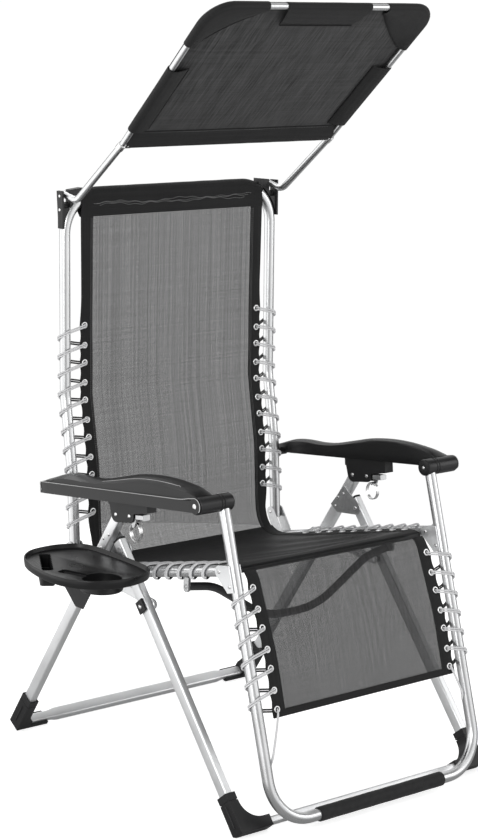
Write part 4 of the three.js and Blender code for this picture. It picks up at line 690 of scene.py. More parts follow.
class Finishes:
    """Every material, made once when it is first asked for."""

    makers = {
        "tube": lambda s: satin_tube("satin_aluminium"),
        "leg": lambda s: satin_tube("satin_aluminium_legs", 0.45, 1.3),
        "stamped": lambda s: stamped_metal("zinc_plate", (0.62, 0.625, 0.63)),
        "bright": lambda s: stamped_metal("nickel_rivet", (0.8, 0.8, 0.8), 0.26),
        "eyelet": lambda s: stamped_metal("nickel_eyelet", (0.95, 0.95, 0.95), 0.3),
        "dark_bar": lambda s: stamped_metal("dark_powder_coat", (0.035, 0.035, 0.036), 0.42, 0.0),
        "plastic": lambda s: moulded("black_moulding", s.plastic_colour, 0.42),
        "arm": lambda s: moulded("armrest_moulding", s.armrest_colour, 0.33, 0.06),
        "barrel": lambda s: moulded("barrel_moulding", (0.008, 0.008, 0.0085), 0.3, 0.0),
        # pale plastic for the armrest's edge beads: painted highlight
        "rim": lambda s: moulded("armrest_painted_highlight", (0.3, 0.3, 0.3), 0.22, 0.0),
        "tray": lambda s: moulded("tray_moulding", s.tray_colour, 0.3, 0.05),
        "mesh": lambda s: woven("open_mesh_weave", s.mesh_colour, s.mesh_open, 1.9, bump=0.08, depth=0.32),
        "leg_mesh": lambda s: woven("leg_mesh_weave", s.mesh_colour, s.mesh_open * 0.56, 1.9, bump=0.08,
                                    depth=0.6),
        "seat": lambda s: woven("dense_seat_weave", s.seat_colour, 0.0, 1.5, roughness=0.5),
        "border": lambda s: woven("border_tape_weave", s.border_colour, 0.0, 1.1, roughness=0.6, bump=0.35),
        "canopy": lambda s: woven("canopy_weave", s.canopy_colour, 0.0, 1.6, streak=0.4, slant=-32,
                                  depth=0.85),
        "pocket": lambda s: woven("canopy_pocket_weave", s.pocket_colour, 0.0, 1.6, roughness=0.6),
        # near-black cord at the flaps' inner edges: painted shadow of the fold gaps
        "seam": lambda s: woven("pocket_edge_painted_shadow", (0.003, 0.003, 0.003), 0.0, 1.1, roughness=0.8),
        "thread": lambda s: braided("sewing_thread", (0.16, 0.16, 0.16), 0.5),
        "cord": lambda s: braided("elastic_cord_sleeve", s.cord_colour),
        # a dark copy of the cord for its stretches behind tube and cloth: painted shade
        "cord_painted_shade": lambda s: braided("elastic_cord_painted_shade", (0.03, 0.03, 0.03)),
        "foam": lambda s: foam_skin("closed_cell_foam", s.foam_colour),
    }
    made = {}

    @classmethod
    def get(cls, name):
        if name not in cls.made:
            cls.made[name] = cls.makers[name](bpy.context.scene.lounger_finish)
        return cls.made[name]


def finish(*names):
    return [Finishes.get(name) for name in names]


def refinish(node, name, bevel):
    """Gives a kept CAD node a better material, joined corners and rounded edges."""
    made = frame["nodes"][node]
    if not made.material_slots:
        made.data.materials.append(None)
    for slot in made.material_slots:
        slot.material = Finishes.get(name)
    joined = made.modifiers.new("joined corners", "WELD")
    joined.merge_threshold = 0.00002
    round_edges(made, bevel)


# Slings
SLING_RISE = 8
SLING_HALF = 237
EYELET_X = 225
PITCH = 38
BACK_PLACES = [65 + PITCH * (10 - i) for i in range(11)]
SEAT_PLACES = [28 + PITCH * i for i in range(9)]
LEG_PLACES = [168 + PITCH * i for i in range(7)]
TAPE_INSIDE, TAPE_STEP = 205, 6
HEM_TALL = 45
SEAT_SPREAD = 12


def meeting(a, a_direction, b, b_direction):
    """Where two straight lines of the side plane cross."""
    normal = square(b_direction)
    return along(a, a_direction, (b - a).dot(normal) / a_direction.dot(normal))


HIP_CORNER = meeting(on_rail(0, SLING_RISE), RAIL_BACK, along(HIP, square(BACK_LOW), SLING_RISE), BACK_LOW)
KNEE_SINK, LEG_LEVEL = 18, 285
KNEE_CORNER = meeting(on_rail(0, SLING_RISE), RAIL_BACK, on_leg_rest(0, SLING_RISE - KNEE_SINK), LEG_DOWN)
KNEE_FALL = (on_leg_rest(LEG_LEVEL, SLING_RISE) - KNEE_CORNER).normalized()
KNEE_PLACE = (KNEE_CORNER - ARM_FRONT).dot(LEG_DOWN)
HIP_TURN, KNEE_TURN = 75, 42
KNEE_SHARE = 12 / (4 * KNEE_TURN)


def leg_sink(distance):
    """How far the leg rest's cloth lies behind its tubes' front: more towards the knee."""
    return KNEE_SINK * min(max((LEG_LEVEL - distance) / (LEG_LEVEL - KNEE_PLACE), 0), 1)


def soft_corner(corner, into, out, reach, low, high):
    """Part of the smooth turn of cloth round a corner, from one straight run to the next."""
    start, end, steps = along(corner, into, -reach), along(corner, out, reach), 16
    line = []
    for k in range(steps + 1):
        t = low + (high - low) * k / steps
        line.append(start.lerp(corner, t).lerp(corner.lerp(end, t), t))
    return line


def back_surface(s, x):
    """How far the back cloth stands off its own line: a shallow hollow and faint pull marks."""
    deepest, length = 3.0, 760
    share = min(max(s / length, 0), 1)
    hollow = -deepest * (1 - (x / SLING_HALF) ** 2) * math.sin(math.pi * share)
    pull = 0.5 * math.sin(x * 0.05 + s * 0.028) * (1 - abs(x) / SLING_HALF)
    return hollow + pull + 0.8 * noise.noise(Vector((x * 0.012, s * 0.008, 1.3)))


def seat_sag(s, x):
    """How far the sitter's weight has drawn the seat down between its borders."""
    deepest, front_ease, rear_ease, length, flat_half = 15, 130, 150, 460, 215
    share = min(s / front_ease, (length - s) / rear_ease, 1)
    return -deepest * max(share, 0) * (1 - min(abs(x) / flat_half, 1) ** 2.5)


def seat_surface(s, x):
    """The seat's cloth: a slight sag and long ridges that fan out from the far front corner."""
    length, corner_x, corner_s, fan_reach, fan_spread = 480, 250, -25, 210, 150
    share = max(s / length, 0)
    sag = -3.5 * (1 - (x / SLING_HALF) ** 2) * math.sin(math.pi * min(share, 1))
    dx, ds = corner_x - x, s - corner_s
    angle, reach = math.atan2(ds, dx), math.hypot(dx, ds)
    ease = math.exp(-((reach - fan_reach) / fan_spread) ** 2)
    fan = math.sin(angle * 34 + 1.2 * math.sin(angle * 9)) * ease
    ridge = 2.6 * max(fan, -0.4) * min((SLING_HALF - abs(x)) / 50, 1) * min(share * 6, 1)
    return seat_sag(s, x) + sag + ridge + 0.5 * noise.noise(Vector((x * 0.015, s * 0.02, 4.1)))


def leg_surface(s, x):
    """The leg rest's cloth: nearly flat, with a soft roll."""
    return 0.9 * noise.noise(Vector((x * 0.01, s * 0.012, 7.7))) - 1.2 * (1 - (x / SLING_HALF) ** 2)


class Cloth:
    """A strip of cloth along a line of the side plane, with its relief and its eyelets' places."""

    def __init__(self, line, places, surface, end_half, spread=0):
        self.line = spaced(smoothed(divided(line, 4), 6), max(round(arc_length(line)[-1] / 5), 24))
        self.lengths = arc_length(self.line)
        self.total = self.lengths[-1]
        self.eyelets = [self.nearest(p) for p in places]
        self.surface, self.end_half, self.spread = surface, end_half, spread

    def nearest(self, point):
        i = min(range(len(self.line)), key=lambda k: (self.line[k] - point).length)
        return self.lengths[i]

    def at(self, s):
        s = min(max(s, 0), self.total)
        i = min(int(s / self.total * (len(self.line) - 1)), len(self.line) - 2)
        share = (s - self.lengths[i]) / (self.lengths[i + 1] - self.lengths[i])
        return self.line[i].lerp(self.line[i + 1], share)

    def normal(self, s):
        """Towards the sitter."""
        return square((self.at(s + 4) - self.at(s - 4)).normalized())

    def lift(self, s, x, rise, sign=1):
        """The point that stands a rise off the strip's own line."""
        return at_x(along(self.at(s), self.normal(s), rise), sign * x)

    def spot(self, s, x, rise=0, sign=1):
        """A point that stands a rise off the cloth, with its relief."""
        return self.lift(s, x, self.surface(s, x) + rise, sign)

    def half(self, s):
        """Half the cloth's width: drawn in a little between the eyelets, and towards the ends."""
        first, last = min(self.eyelets), max(self.eyelets)
        if not first <= s <= last:
            return self.end_half(s, first, last)
        near = min(abs(s - e) for e in self.eyelets)
        drawn_in = 2.6 * math.sin(math.pi * min(near / PITCH, 0.5)) ** 2
        return SLING_HALF - drawn_in + self.spread * min((s - first) / PITCH, (last - s) / PITCH, 1)


def sling(cloth, name, body, finish_name, node):
    """The mesh field of a sling, cut to its size and stretched on the lacing."""
    count = 48
    points, faces, uvs = [], [], []
    for s, middle in zip(cloth.lengths, cloth.line):
        half, normal = cloth.half(s) - 1.0, cloth.normal(s)
        for k in range(count + 1):
            x = half * (2 * k / count - 1)
            points.append(at_x(along(middle, normal, cloth.surface(s, x)), x))
    for i in range(len(cloth.line) - 1):
        for k in range(count):
            a = i * (count + 1) + k
            quad = [a, a + 1, a + count + 2, a + count + 1]
            faces.append(quad)
            uvs.append([(points[q].x * MM, cloth.lengths[q // (count + 1)] * MM) for q in quad])
    return piece(Form().add(points, faces, uvs), name, body, finish(finish_name), [node], sharp=60)


def tapes(cloth, high):
    """The doubled borders along both edges: flat closed bands with a rounded outer edge."""
    form, low = Form(), 1
    count = max(round((high - low) / TAPE_STEP), 3)
    for _, sign in SIDES:
        rings = []
        for i in range(count + 1):
            s = low + (high - low) * i / count
            outer = cloth.half(s)
            upper = [(TAPE_INSIDE, 0.75), (TAPE_INSIDE + 3.2, 0.6), (TAPE_INSIDE + 4.2, 1), (outer - 2.2, 1),
                     (outer - 0.8, 0.7)]
            profile = upper + [(outer, 0)] + [(x, -rise) for x, rise in reversed(upper)]
            ring = [cloth.spot(s, x, rise, sign) for x, rise in profile]
            rings.append(ring if sign > 0 else ring[::-1])
        skin(form, rings)
    return form


def front_hem(form, cloth, low, high):
    """A turned and sewn hem across the end of a sling."""
    count, rings = 60, []
    half = min(cloth.half(low), cloth.half(high)) - 2
    profile = [(low, 0), (low + 0.8, 0.8), (low + 2.5, 1.15), (high - 4, 1.15), (high - 3, 0.8), (high, 0.9),
               (high, -0.9), (high - 3, -0.8), (high - 4, -1.15), (low + 2.5, -1.15), (low + 0.8, -0.8)]
    for k in range(count + 1):
        x = half * (2 * k / count - 1)
        rings.append([cloth.spot(s, x, rise * 1.15) for s, rise in profile])
    return skin(form, rings)


def stitches(form, line, up, pitch=4.2, length=2.9, radius=0.32):
    """A row of separate sewn stitches along a line that lies on the cloth."""
    lengths, i = arc_length(line), 0
    for k in range(int(lengths[-1] / pitch)):
        ends = []
        for s in (k * pitch, k * pitch + length / 2, k * pitch + length):
            while i < len(line) - 2 and lengths[i + 1] < s:
                i += 1
            share = (s - lengths[i]) / max(lengths[i + 1] - lengths[i], 1e-6)
            ends.append(line[i].lerp(line[i + 1], min(share, 1)))
        tube(form, [ends[0], along(ends[1], up, radius * 0.9), ends[2]], radius, 5)
        i = max(i - 3, 0)
    return form


def eyelets(cloth):
    """Rolled nickel eyelets through the border."""
    form = Form()
    profile = [(4.1, -1.3), (4.0, 0.6), (4.3, 1.5), (5.1, 2.0), (6.1, 1.85), (6.9, 1.35), (7.0, 0.9),
               (7.0, -0.9), (6.4, -1.5), (5.2, -1.8)]
    for s in cloth.eyelets:
        for _, sign in SIDES:
            turned_ring(form, profile, cloth.spot(s, EYELET_X, sign=sign), cloth.normal(s))
    return form


def turned_ring(form, profile, origin, axis, sides=22):
    """A turned piece with a hole: the profile is a closed loop of (radius, distance)."""
    axis = axis.normalized()
    u, v = across(axis)
    rings = []
    for i in range(sides + 1):
        a = math.tau * i / sides
        out = u * math.cos(a) + v * math.sin(a)
        rings.append([origin + out * r + axis * d for r, d in profile])
    return skin(form, rings, caps=False)


# Lacing
CORD_R = 1.7
STRAND_GAP = 2.1
WRAP_R = TUBE_R + 2.2 + 1.2
WRAP_TURN = math.radians(204)
FRONT_SHARE, BACK_SHARE = 0.25, 0.85
FAR_TAIL_SHARE = 0.68


def lace_route(on_tube, places, tail_drop, sign=1, sink=None, fine=3):
    """The cord's middle line and, at each point, the tube's direction and whether it lies behind the tube or
    cloth, where it takes a painted shade.
    """
    rough = []

    def put(distance, x, rise, behind):
        point, front, direction = on_tube(distance)
        rough.append((at_x(along(point, front, rise), x), direction, behind))

    for i, place in enumerate(places):
        rise = SLING_RISE - (sink(place) if sink else 0)
        put(place, EYELET_X + (4 if i else 0), rise - 4, 1)
        put(place, EYELET_X, rise - 1.2, 1 if i else 0)
        put(place, EYELET_X, rise + 1.4, 0)
        last = i == len(places) - 1
        following = place + tail_drop if last else places[i + 1]
        pitch = following - place
        if last and sink:
            for share, x, lift in ((0.06, 2, 4.2), (0.3, 8, 3.2), (0.65, 18, 0.5), (0.9, 25.5, -2)):
                put(place + tail_drop * share, EYELET_X + x, SLING_RISE + lift, 0)
            put(following, FRAME_X - TUBE_R - 2.6, 2, 0)
            put(following + 6, FRAME_X - TUBE_R - 2.2, -2, 0)
            break
        put(place + math.copysign(1, pitch), EYELET_X + 3, rise + 4.4, 0)
        for k in range(9 if last else 11):
            angle = math.pi / 2 - WRAP_TURN * k / 10
            share = FRONT_SHARE + (BACK_SHARE - FRONT_SHARE) * k / 10
            put(place + pitch * share, FRAME_X + WRAP_R * math.cos(angle), WRAP_R * math.sin(angle),
                1 if k > 7 else 0)
    line = catmull([r[0] for r in rough], fine)
    marks = [rough[min(i // fine, len(rough) - 1)] for i in range(len(line))]
    return [(Vector((sign * p.x, p.y, p.z)), m[1], m[2]) for p, m in zip(line, marks)]


def lacing(radius, name, on_tube, places, tail_drop, body, nodes, sink=None):
    """The doubled elastic cord through the eyelets and round the tube, on both sides; its stretches behind
    the tube and cloth are a dark cord colour that paints their shade.
    """
    for text, sign in SIDES:
        form = Form()
        tail = tail_drop * (FAR_TAIL_SHARE if sink and sign > 0 else 1)
        route = lace_route(on_tube, places, tail, sign, sink)
        for offset in (-STRAND_GAP, STRAND_GAP):
            start = 0
            while start < len(route) - 1:
                behind = route[start][2]
                end = start
                while end < len(route) - 1 and route[end][2] == behind:
                    end += 1
                line = [along(p, d, offset) for p, d, _ in route[start:end + 1]]
                if len(line) > 1:
                    # stretches behind take the second slot, a dark cord colour that paints their shade
                    tube(form, line, radius, 8, behind)
                start = end
        piece(form, f"{name}_{text}", body, finish("cord", "cord_painted_shade"), [f"{nodes}_{text}"],
              sharp=60)


def seat_tube(distance):
    return on_rail(distance), RAIL_UP, RAIL_BACK


def leg_tube(distance):
    return on_leg_rest(distance), LEG_FRONT, LEG_DOWN


# Operators
class PieceOperator(bpy.types.Operator):
    """Shared set-up of the lounger's operators."""

    bl_idname = "lounger.piece"
    bl_label = "Lounger piece"
    bl_options = {"REGISTER", "UNDO"}

    def make(self, settings):
        raise NotImplementedError("each piece has its own make")

    def execute(self, context):
        self.make(context.scene.lounger_sizes)
        return {"FINISHED"}


class LOUNGER_OT_camera(PieceOperator):
    """Place the camera at the photograph's viewing angle"""

    bl_idname = "lounger.camera"
    bl_label = "Camera"

    def make(self, settings):
        data = bpy.data.cameras.new("product_camera")
        data.lens, data.sensor_width, data.sensor_fit, data.clip_end = 96.43, 36, "AUTO", 100
        right = Vector((0.76772, -0.64005, 0.03052))
        up = Vector((0.10863, 0.17694, 0.97821))
        forward = Vector((0.63151, 0.74768, -0.20537))
        turn = Matrix((right, up, -forward)).transposed().to_4x4()
        camera = linked("product_camera", data)
        camera.matrix_world = Matrix.Translation(metres(Vector((-2848.9, -3266.0, 1606.6)))) @ turn
        bpy.context.scene.camera = camera


class LOUNGER_OT_frame_tubes(PieceOperator):
    """Build the round tubes of the back, the seat and the leg rest"""

    bl_idname = "lounger.frame_tubes"
    bl_label = "Frame tubes"

    def make(self, settings):
        back = [at_x(p, FRAME_X) for p in (BACK_TAIL, BACK_A, BACK_B, BACK_TOP)]
        back += [mirrored(p) for p in reversed(back)]
        leg_rest = [at_x(on_leg_rest(8), -FRAME_X), at_x(on_leg_rest(LEG_LENGTH), -FRAME_X)]
        leg_rest += [mirrored(p) for p in reversed(leg_rest)]
        for name, body, corners, bends in (
                ("back_frame", "back", back, [90, 90, TOP_BEND, TOP_BEND, 90, 90]),
                ("leg_frame", "leg_rest", leg_rest, [85, 85])):
            form = tube(Form(), divided(bent(corners, bends), 30), TUBE_R, 28, edge=0.8)
            piece(form, f"{name}_tube", body, finish("tube"), [name])
        line = divided([at_x(on_rail(-10), FRAME_X), at_x(on_rail(RAIL_PIN + 84), FRAME_X)], 30)
        pair(tube(Form(), line, TUBE_R, 28, edge=0.8), "seat_rail_tube", "seat",
             finish("tube"), ["seat_rail"])


class LOUNGER_OT_cross_bars(PieceOperator):
    """Build the dark bars under the seat"""

    bl_idname = "lounger.cross_bars"
    bl_label = "Cross bars"

    def make(self, settings):
        place, reach = on_rail(24, -6.5), FRAME_X - 11
        line = divided([at_x(place, -reach), at_x(place, reach)], 40)
        piece(tube(Form(), line, 6.5, 24, edge=0.6), "seat_front_bar_tube", "seat",
              finish("dark_bar"), ["seat_front_bar"])
        hanger, ear_half, ear_thick = on_rail(113), 7.5, 6
        end = along(hanger, DOWN, 30)
        corners = [at_x(along(end, DOWN, drop), x) for x, drop in ((FRAME_X - 1, 0), (200, 10), (66, 94))]
        corners += [mirrored(p) for p in reversed(corners)]
        form = tube(Form(), divided(bent(corners, [110, 170, 170, 110], 24), 30), 8, 24, edge=0.6)
        rise = along(hanger, DOWN, TUBE_R + GAP).z - end.z
        ear = arc(0, -3.5, ear_half, math.pi, math.pi, 16) + [(ear_half, rise), (-ear_half, rise)]
        screw = [(4.6, 0), (4.6, 0.6), (4.0, 1.0), (0, 1.2)]
        for _, sign in SIDES:
            slab(form, ear, at_x(end, sign * FRAME_X - ear_thick / 2), Y, UP, ear_thick, 1)
            turned(form, screw, at_x(end, sign * (FRAME_X + ear_thick / 2)), X * sign, 16, 1)
        piece(form, "curved_cross_bar_tube", "seat", finish("dark_bar", "stamped"),
              ["curved_cross_bar"], bevel=0.5)


class LOUNGER_OT_legs(PieceOperator):
    """Build the rectangular legs and their cross tubes"""

    bl_idname = "lounger.legs"
    bl_label = "Legs"

    def make(self, settings):
        rear_end, front_end = foot_end(on_rear_leg, REAR_LEAN), foot_end(on_front_leg, FRONT_LEAN)
        for name, body, end, up, top in (
                ("rear_leg", "base", rear_end, REAR_UP, along(LOCK_PIVOT, REAR_UP, 12)),
                ("front_leg", "front_legs", front_end, FRONT_UP, along(LEG_HINGE, FRONT_UP, 20))):
            low, high = at_x(along(end, up, 2 * CROSS_RISE + GAP), LEG_X), at_x(top, LEG_X)
            form = bar(Form(), low, high, square(up), LEG_WIDE, LEG_THICK, LEG_CORNER)
            pair(form, f"{name}_tube", body, finish("leg"), [name], bevel=0.4)
        self.cross(rear_end, REAR_UP, LEG_WIDE, LEG_THICK, 0.8, 0.7, "rear_cross_tube", "base")
        self.cross(front_end, FRONT_UP, FRONT_CROSS_WIDE, FRONT_CROSS_THICK, 1, 1, "front_cross_tube",
                   "front_legs")

    @staticmethod
    def cross(end, up, wide, thick, end_wide, end_thick, node, body):
        """A cross tube whose section is pressed smaller towards its ends."""
        centre = along(end, up, CROSS_RISE)
        half, shoulder, ease = LEG_X - 10, LEG_X - 92, 20
        places = [-half, -shoulder - ease, -shoulder - 13, -shoulder - 6, -shoulder, -shoulder * 0.5, 0]
        places += [-x for x in reversed(places[:-1])]
        shares = []
        for x in places:
            t = min(max((shoulder + ease - abs(x)) / ease, 0), 1)
            t = t * t * (3 - 2 * t)
            section = [least + (1 - least) * t for least in (end_wide, end_thick)]
            shares.append(((x + half) / (2 * half), *section))
        form = bar(Form(), at_x(centre, -half), at_x(centre, half), square(up), wide, thick, LEG_CORNER,
                   shares=shares)
        piece(form, f"{node}_bar", body, finish("leg"), [node], sharp=40)


FOOT_WALL = 3
FOOT_HALF = LEG_WIDE / 2 + FOOT_WALL
FOOT_DEEP = LEG_THICK / 2 + FOOT_WALL
CROSS_RISE = FOOT_WALL + LEG_THICK / 2
FRONT_CROSS_WIDE, FRONT_CROSS_THICK = 22, 14


def foot_end(on_leg, lean):
    return on_leg(FOOT_HALF * math.sin(math.radians(lean)) - FOOT_WALL)


class LOUNGER_OT_feet(PieceOperator):
    """Build the moulded feet at the legs' lower ends"""

    bl_idname = "lounger.feet"
    bl_label = "Feet"

    def make(self, settings):
        self.foot(foot_end(on_rear_leg, REAR_LEAN), REAR_UP, 20, LEG_WIDE * 0.8, LEG_THICK * 0.7,
                  FOOT_DEEP + 10, 90, "rear_foot", "base")
        self.foot(foot_end(on_front_leg, FRONT_LEAN), FRONT_UP, 40, FRONT_CROSS_WIDE, FRONT_CROSS_THICK,
                  66, 80, "front_foot", "front_legs")

    @staticmethod
    def foot(end, up, fillet, cross_wide, cross_thick, lip, rise, node, body):
        """An elbow with sockets for the leg and the cross tube, cut level with the floor."""
        inward, reach, heel, far = -X, 66, 6, 400
        back = square(up)
        outline = [(-FOOT_DEEP, rise), *arc(heel - FOOT_DEEP, heel, heel, math.pi, math.pi / 2, 8),
                   (reach, 0), (reach, 2 * FOOT_DEEP),
                   *arc(FOOT_DEEP + fillet, 2 * FOOT_DEEP + fillet, fillet, 1.5 * math.pi, -math.pi / 2, 12),
                   (FOOT_DEEP, rise)]
        corner = along(at_x(end, LEG_X), inward.cross(up), -FOOT_HALF)
        block = slab(Form(), outline, corner, inward, up, 2 * FOOT_HALF).mesh("foot_block")
        axis = at_x(end, LEG_X)
        socket = bar(Form(), along(axis, up, 2 * CROSS_RISE), along(axis, up, rise * 2), back,
                     LEG_WIDE + 2 * GAP, LEG_THICK + 2 * GAP, LEG_CORNER)
        middle = along(end, up, CROSS_RISE)
        hole = bar(Form(), at_x(middle, LEG_X - 10 + GAP), at_x(middle, LEG_X - reach - 8), back,
                   cross_wide + 2 * GAP, cross_thick + 2 * GAP, LEG_CORNER)
        under = slab(Form(), [(-far, -far), (far, -far), (far, far), (-far, far)],
                     Vector((LEG_X, end.y, -60)), X, Y, 60)
        low = at_x(along(end, up, CROSS_RISE + FOOT_DEEP * 2), LEG_X - lip - reach)
        opening = bar(Form(), low, along(low, X, reach), up, FOOT_DEEP * 4, 4 * FOOT_HALF, 0.5)
        rib = at_x(along(end, up, rise * 0.5), LEG_X + FOOT_DEEP)
        rib = bar(Form(), along(rib, up, -24), along(rib, up, 18), back, 3.2, 3.6, 1.5).mesh("foot_rib")
        groove = at_x(along(end, up, rise - 15), LEG_X - FOOT_DEEP - 30)
        band = bar(Form(), groove, along(groove, X, 60), up, 1.6, 60, 0.3).mesh("foot_band")
        core = bar(Form(), along(axis, up, rise - 22), along(axis, up, rise - 8), back,
                   LEG_WIDE + 4.4, LEG_THICK + 4.4, LEG_CORNER).mesh("foot_core")
        tools = [socket.mesh("leg_socket"), hole.mesh("cross_socket"), under.mesh("floor_cut"),
                 opening.mesh("lip_cut"), carve(band, [core])]
        pair(form_of(add_to(carve(block, tools), [rib])), node + "_moulding", body,
             finish("plastic"), [node], bevel=0.9)


STAY_PIVOT = along(along(LEG_HINGE, FRONT_UP, -118), square(FRONT_UP), -4)


class LOUNGER_OT_fittings(PieceOperator):
    """Finish the stamped plates, pins, stays and forks, and add their rivets"""

    bl_idname = "lounger.fittings"
    bl_label = "Fittings and rivets"

    def make(self, settings):
        for text, _ in SIDES:
            for node, name, bevel in (
                    ("hinge_plate", "stamped", 0.5), ("seat_pin", "stamped", 0.3), ("fold_stay", "leg", 0.4),
                    ("rail_end_plate", "stamped", 0.5), ("lock_clamp", "stamped", 0.5),
                    ("leg_end_plug", "plastic", 0.6)):
                refinish(f"{node}_{text}", name, bevel)
        self.forks()
        self.bushings()
        self.rivets()

    @staticmethod
    def forks():
        """The knee's cheek plates on both sides of the leg rest's tube, with a web behind it."""
        place, rise = (KNEE - ARM_FRONT).dot(LEG_DOWN), (KNEE - ARM_FRONT).dot(LEG_FRONT)
        low, high, behind, round_r = place - 8, place + 42, -13.2, 12
        points = [(low, 4), (high, 4), (high, behind), (low, behind)]
        points = [Vector(p) for p in points + arc(place, rise, round_r, 0, math.tau, 40)[:-1]]
        outline = [tuple(points[k]) for k in geometry.convex_hull_2d(points)]
        inside = TUBE_R + TURN_GAP
        form = Form()
        for x in (FRAME_X + inside + PLATE, FRAME_X - inside):
            slab(form, outline, at_x(ARM_FRONT, x), LEG_DOWN, LEG_FRONT, PLATE)
        web = [at_x(on_leg_rest(place + d, -inside - 0.8), FRAME_X) for d in (-7, 41)]
        bar(form, web[0], web[1], X, 2 * inside, 1.6, 0.5)
        pair(form, "knee_fork_plates", "leg_rest", finish("leg"), ["knee_fork"], bevel=0.6)

    @staticmethod
    def bushings():
        """The moulded blocks where the fold stays meet the front legs."""
        outer = at_x(STAY_PIVOT, LEG_OUTER + GAP + 2)
        low, high = along(outer, FRONT_UP, -12.5), along(outer, FRONT_UP, 12.5)
        form = bar(Form(), low, high, square(FRONT_UP), 23, 4, 1.6)
        turned(form, [(0, 0), (7, 0), (7, 20.6), (0, 20.6)], at_x(STAY_PIVOT, LEG_OUTER - 19), X, 24)
        pair(form, "stay_bushing_block", "front_legs", finish("plastic"), ["stay_bushing"],
             bevel=0.9)

    @staticmethod
    def rivets():
        inner, heads = LEG_X - LEG_THICK / 2 - GAP - 2.5, []
        for rise, ahead in ((-9, 0), (12, -5), (30, 3)):
            place = along(along(on_rear_leg(HINGE_HEIGHT), REAR_UP, rise), square(REAR_UP), ahead)
            heads += [(at_x(place, inner), -X, 3.4, 1.6), (at_x(place, LEG_OUTER), X, 3.4, 1.4)]
        rivet_heads("hinge_rivets", "base", heads + [(at_x(LEG_HINGE, inner), -X, 4.6, 2.0)])
        rivet_heads("seat_pin_rivets", "base", [(at_x(SEAT_PIN, LEG_OUTER), X, 4.5, 1.8)])
        reach = TUBE_R + TURN_GAP + PLATE
        knee_along = (KNEE - ARM_FRONT).dot(LEG_DOWN)
        for name, body, places, radius, height in (
                ("knee_rivets", "leg_rest", (KNEE, on_leg_rest(knee_along + 30, -4)), 3.8, 1.7),
                ("hip_rivets", "seat", (HIP, on_rail(RAIL_PIN + 76, -2)), 3.4, 1.6)):
            rivet_heads(name, body, [(at_x(place, FRAME_X + sign * reach), X * sign, radius, height)
                                     for place in places for _, sign in SIDES])
        rivet_heads("stay_rivets", "front_legs", [(at_x(STAY_PIVOT, LEG_OUTER + GAP + 4), X, 4.6, 2.2)])


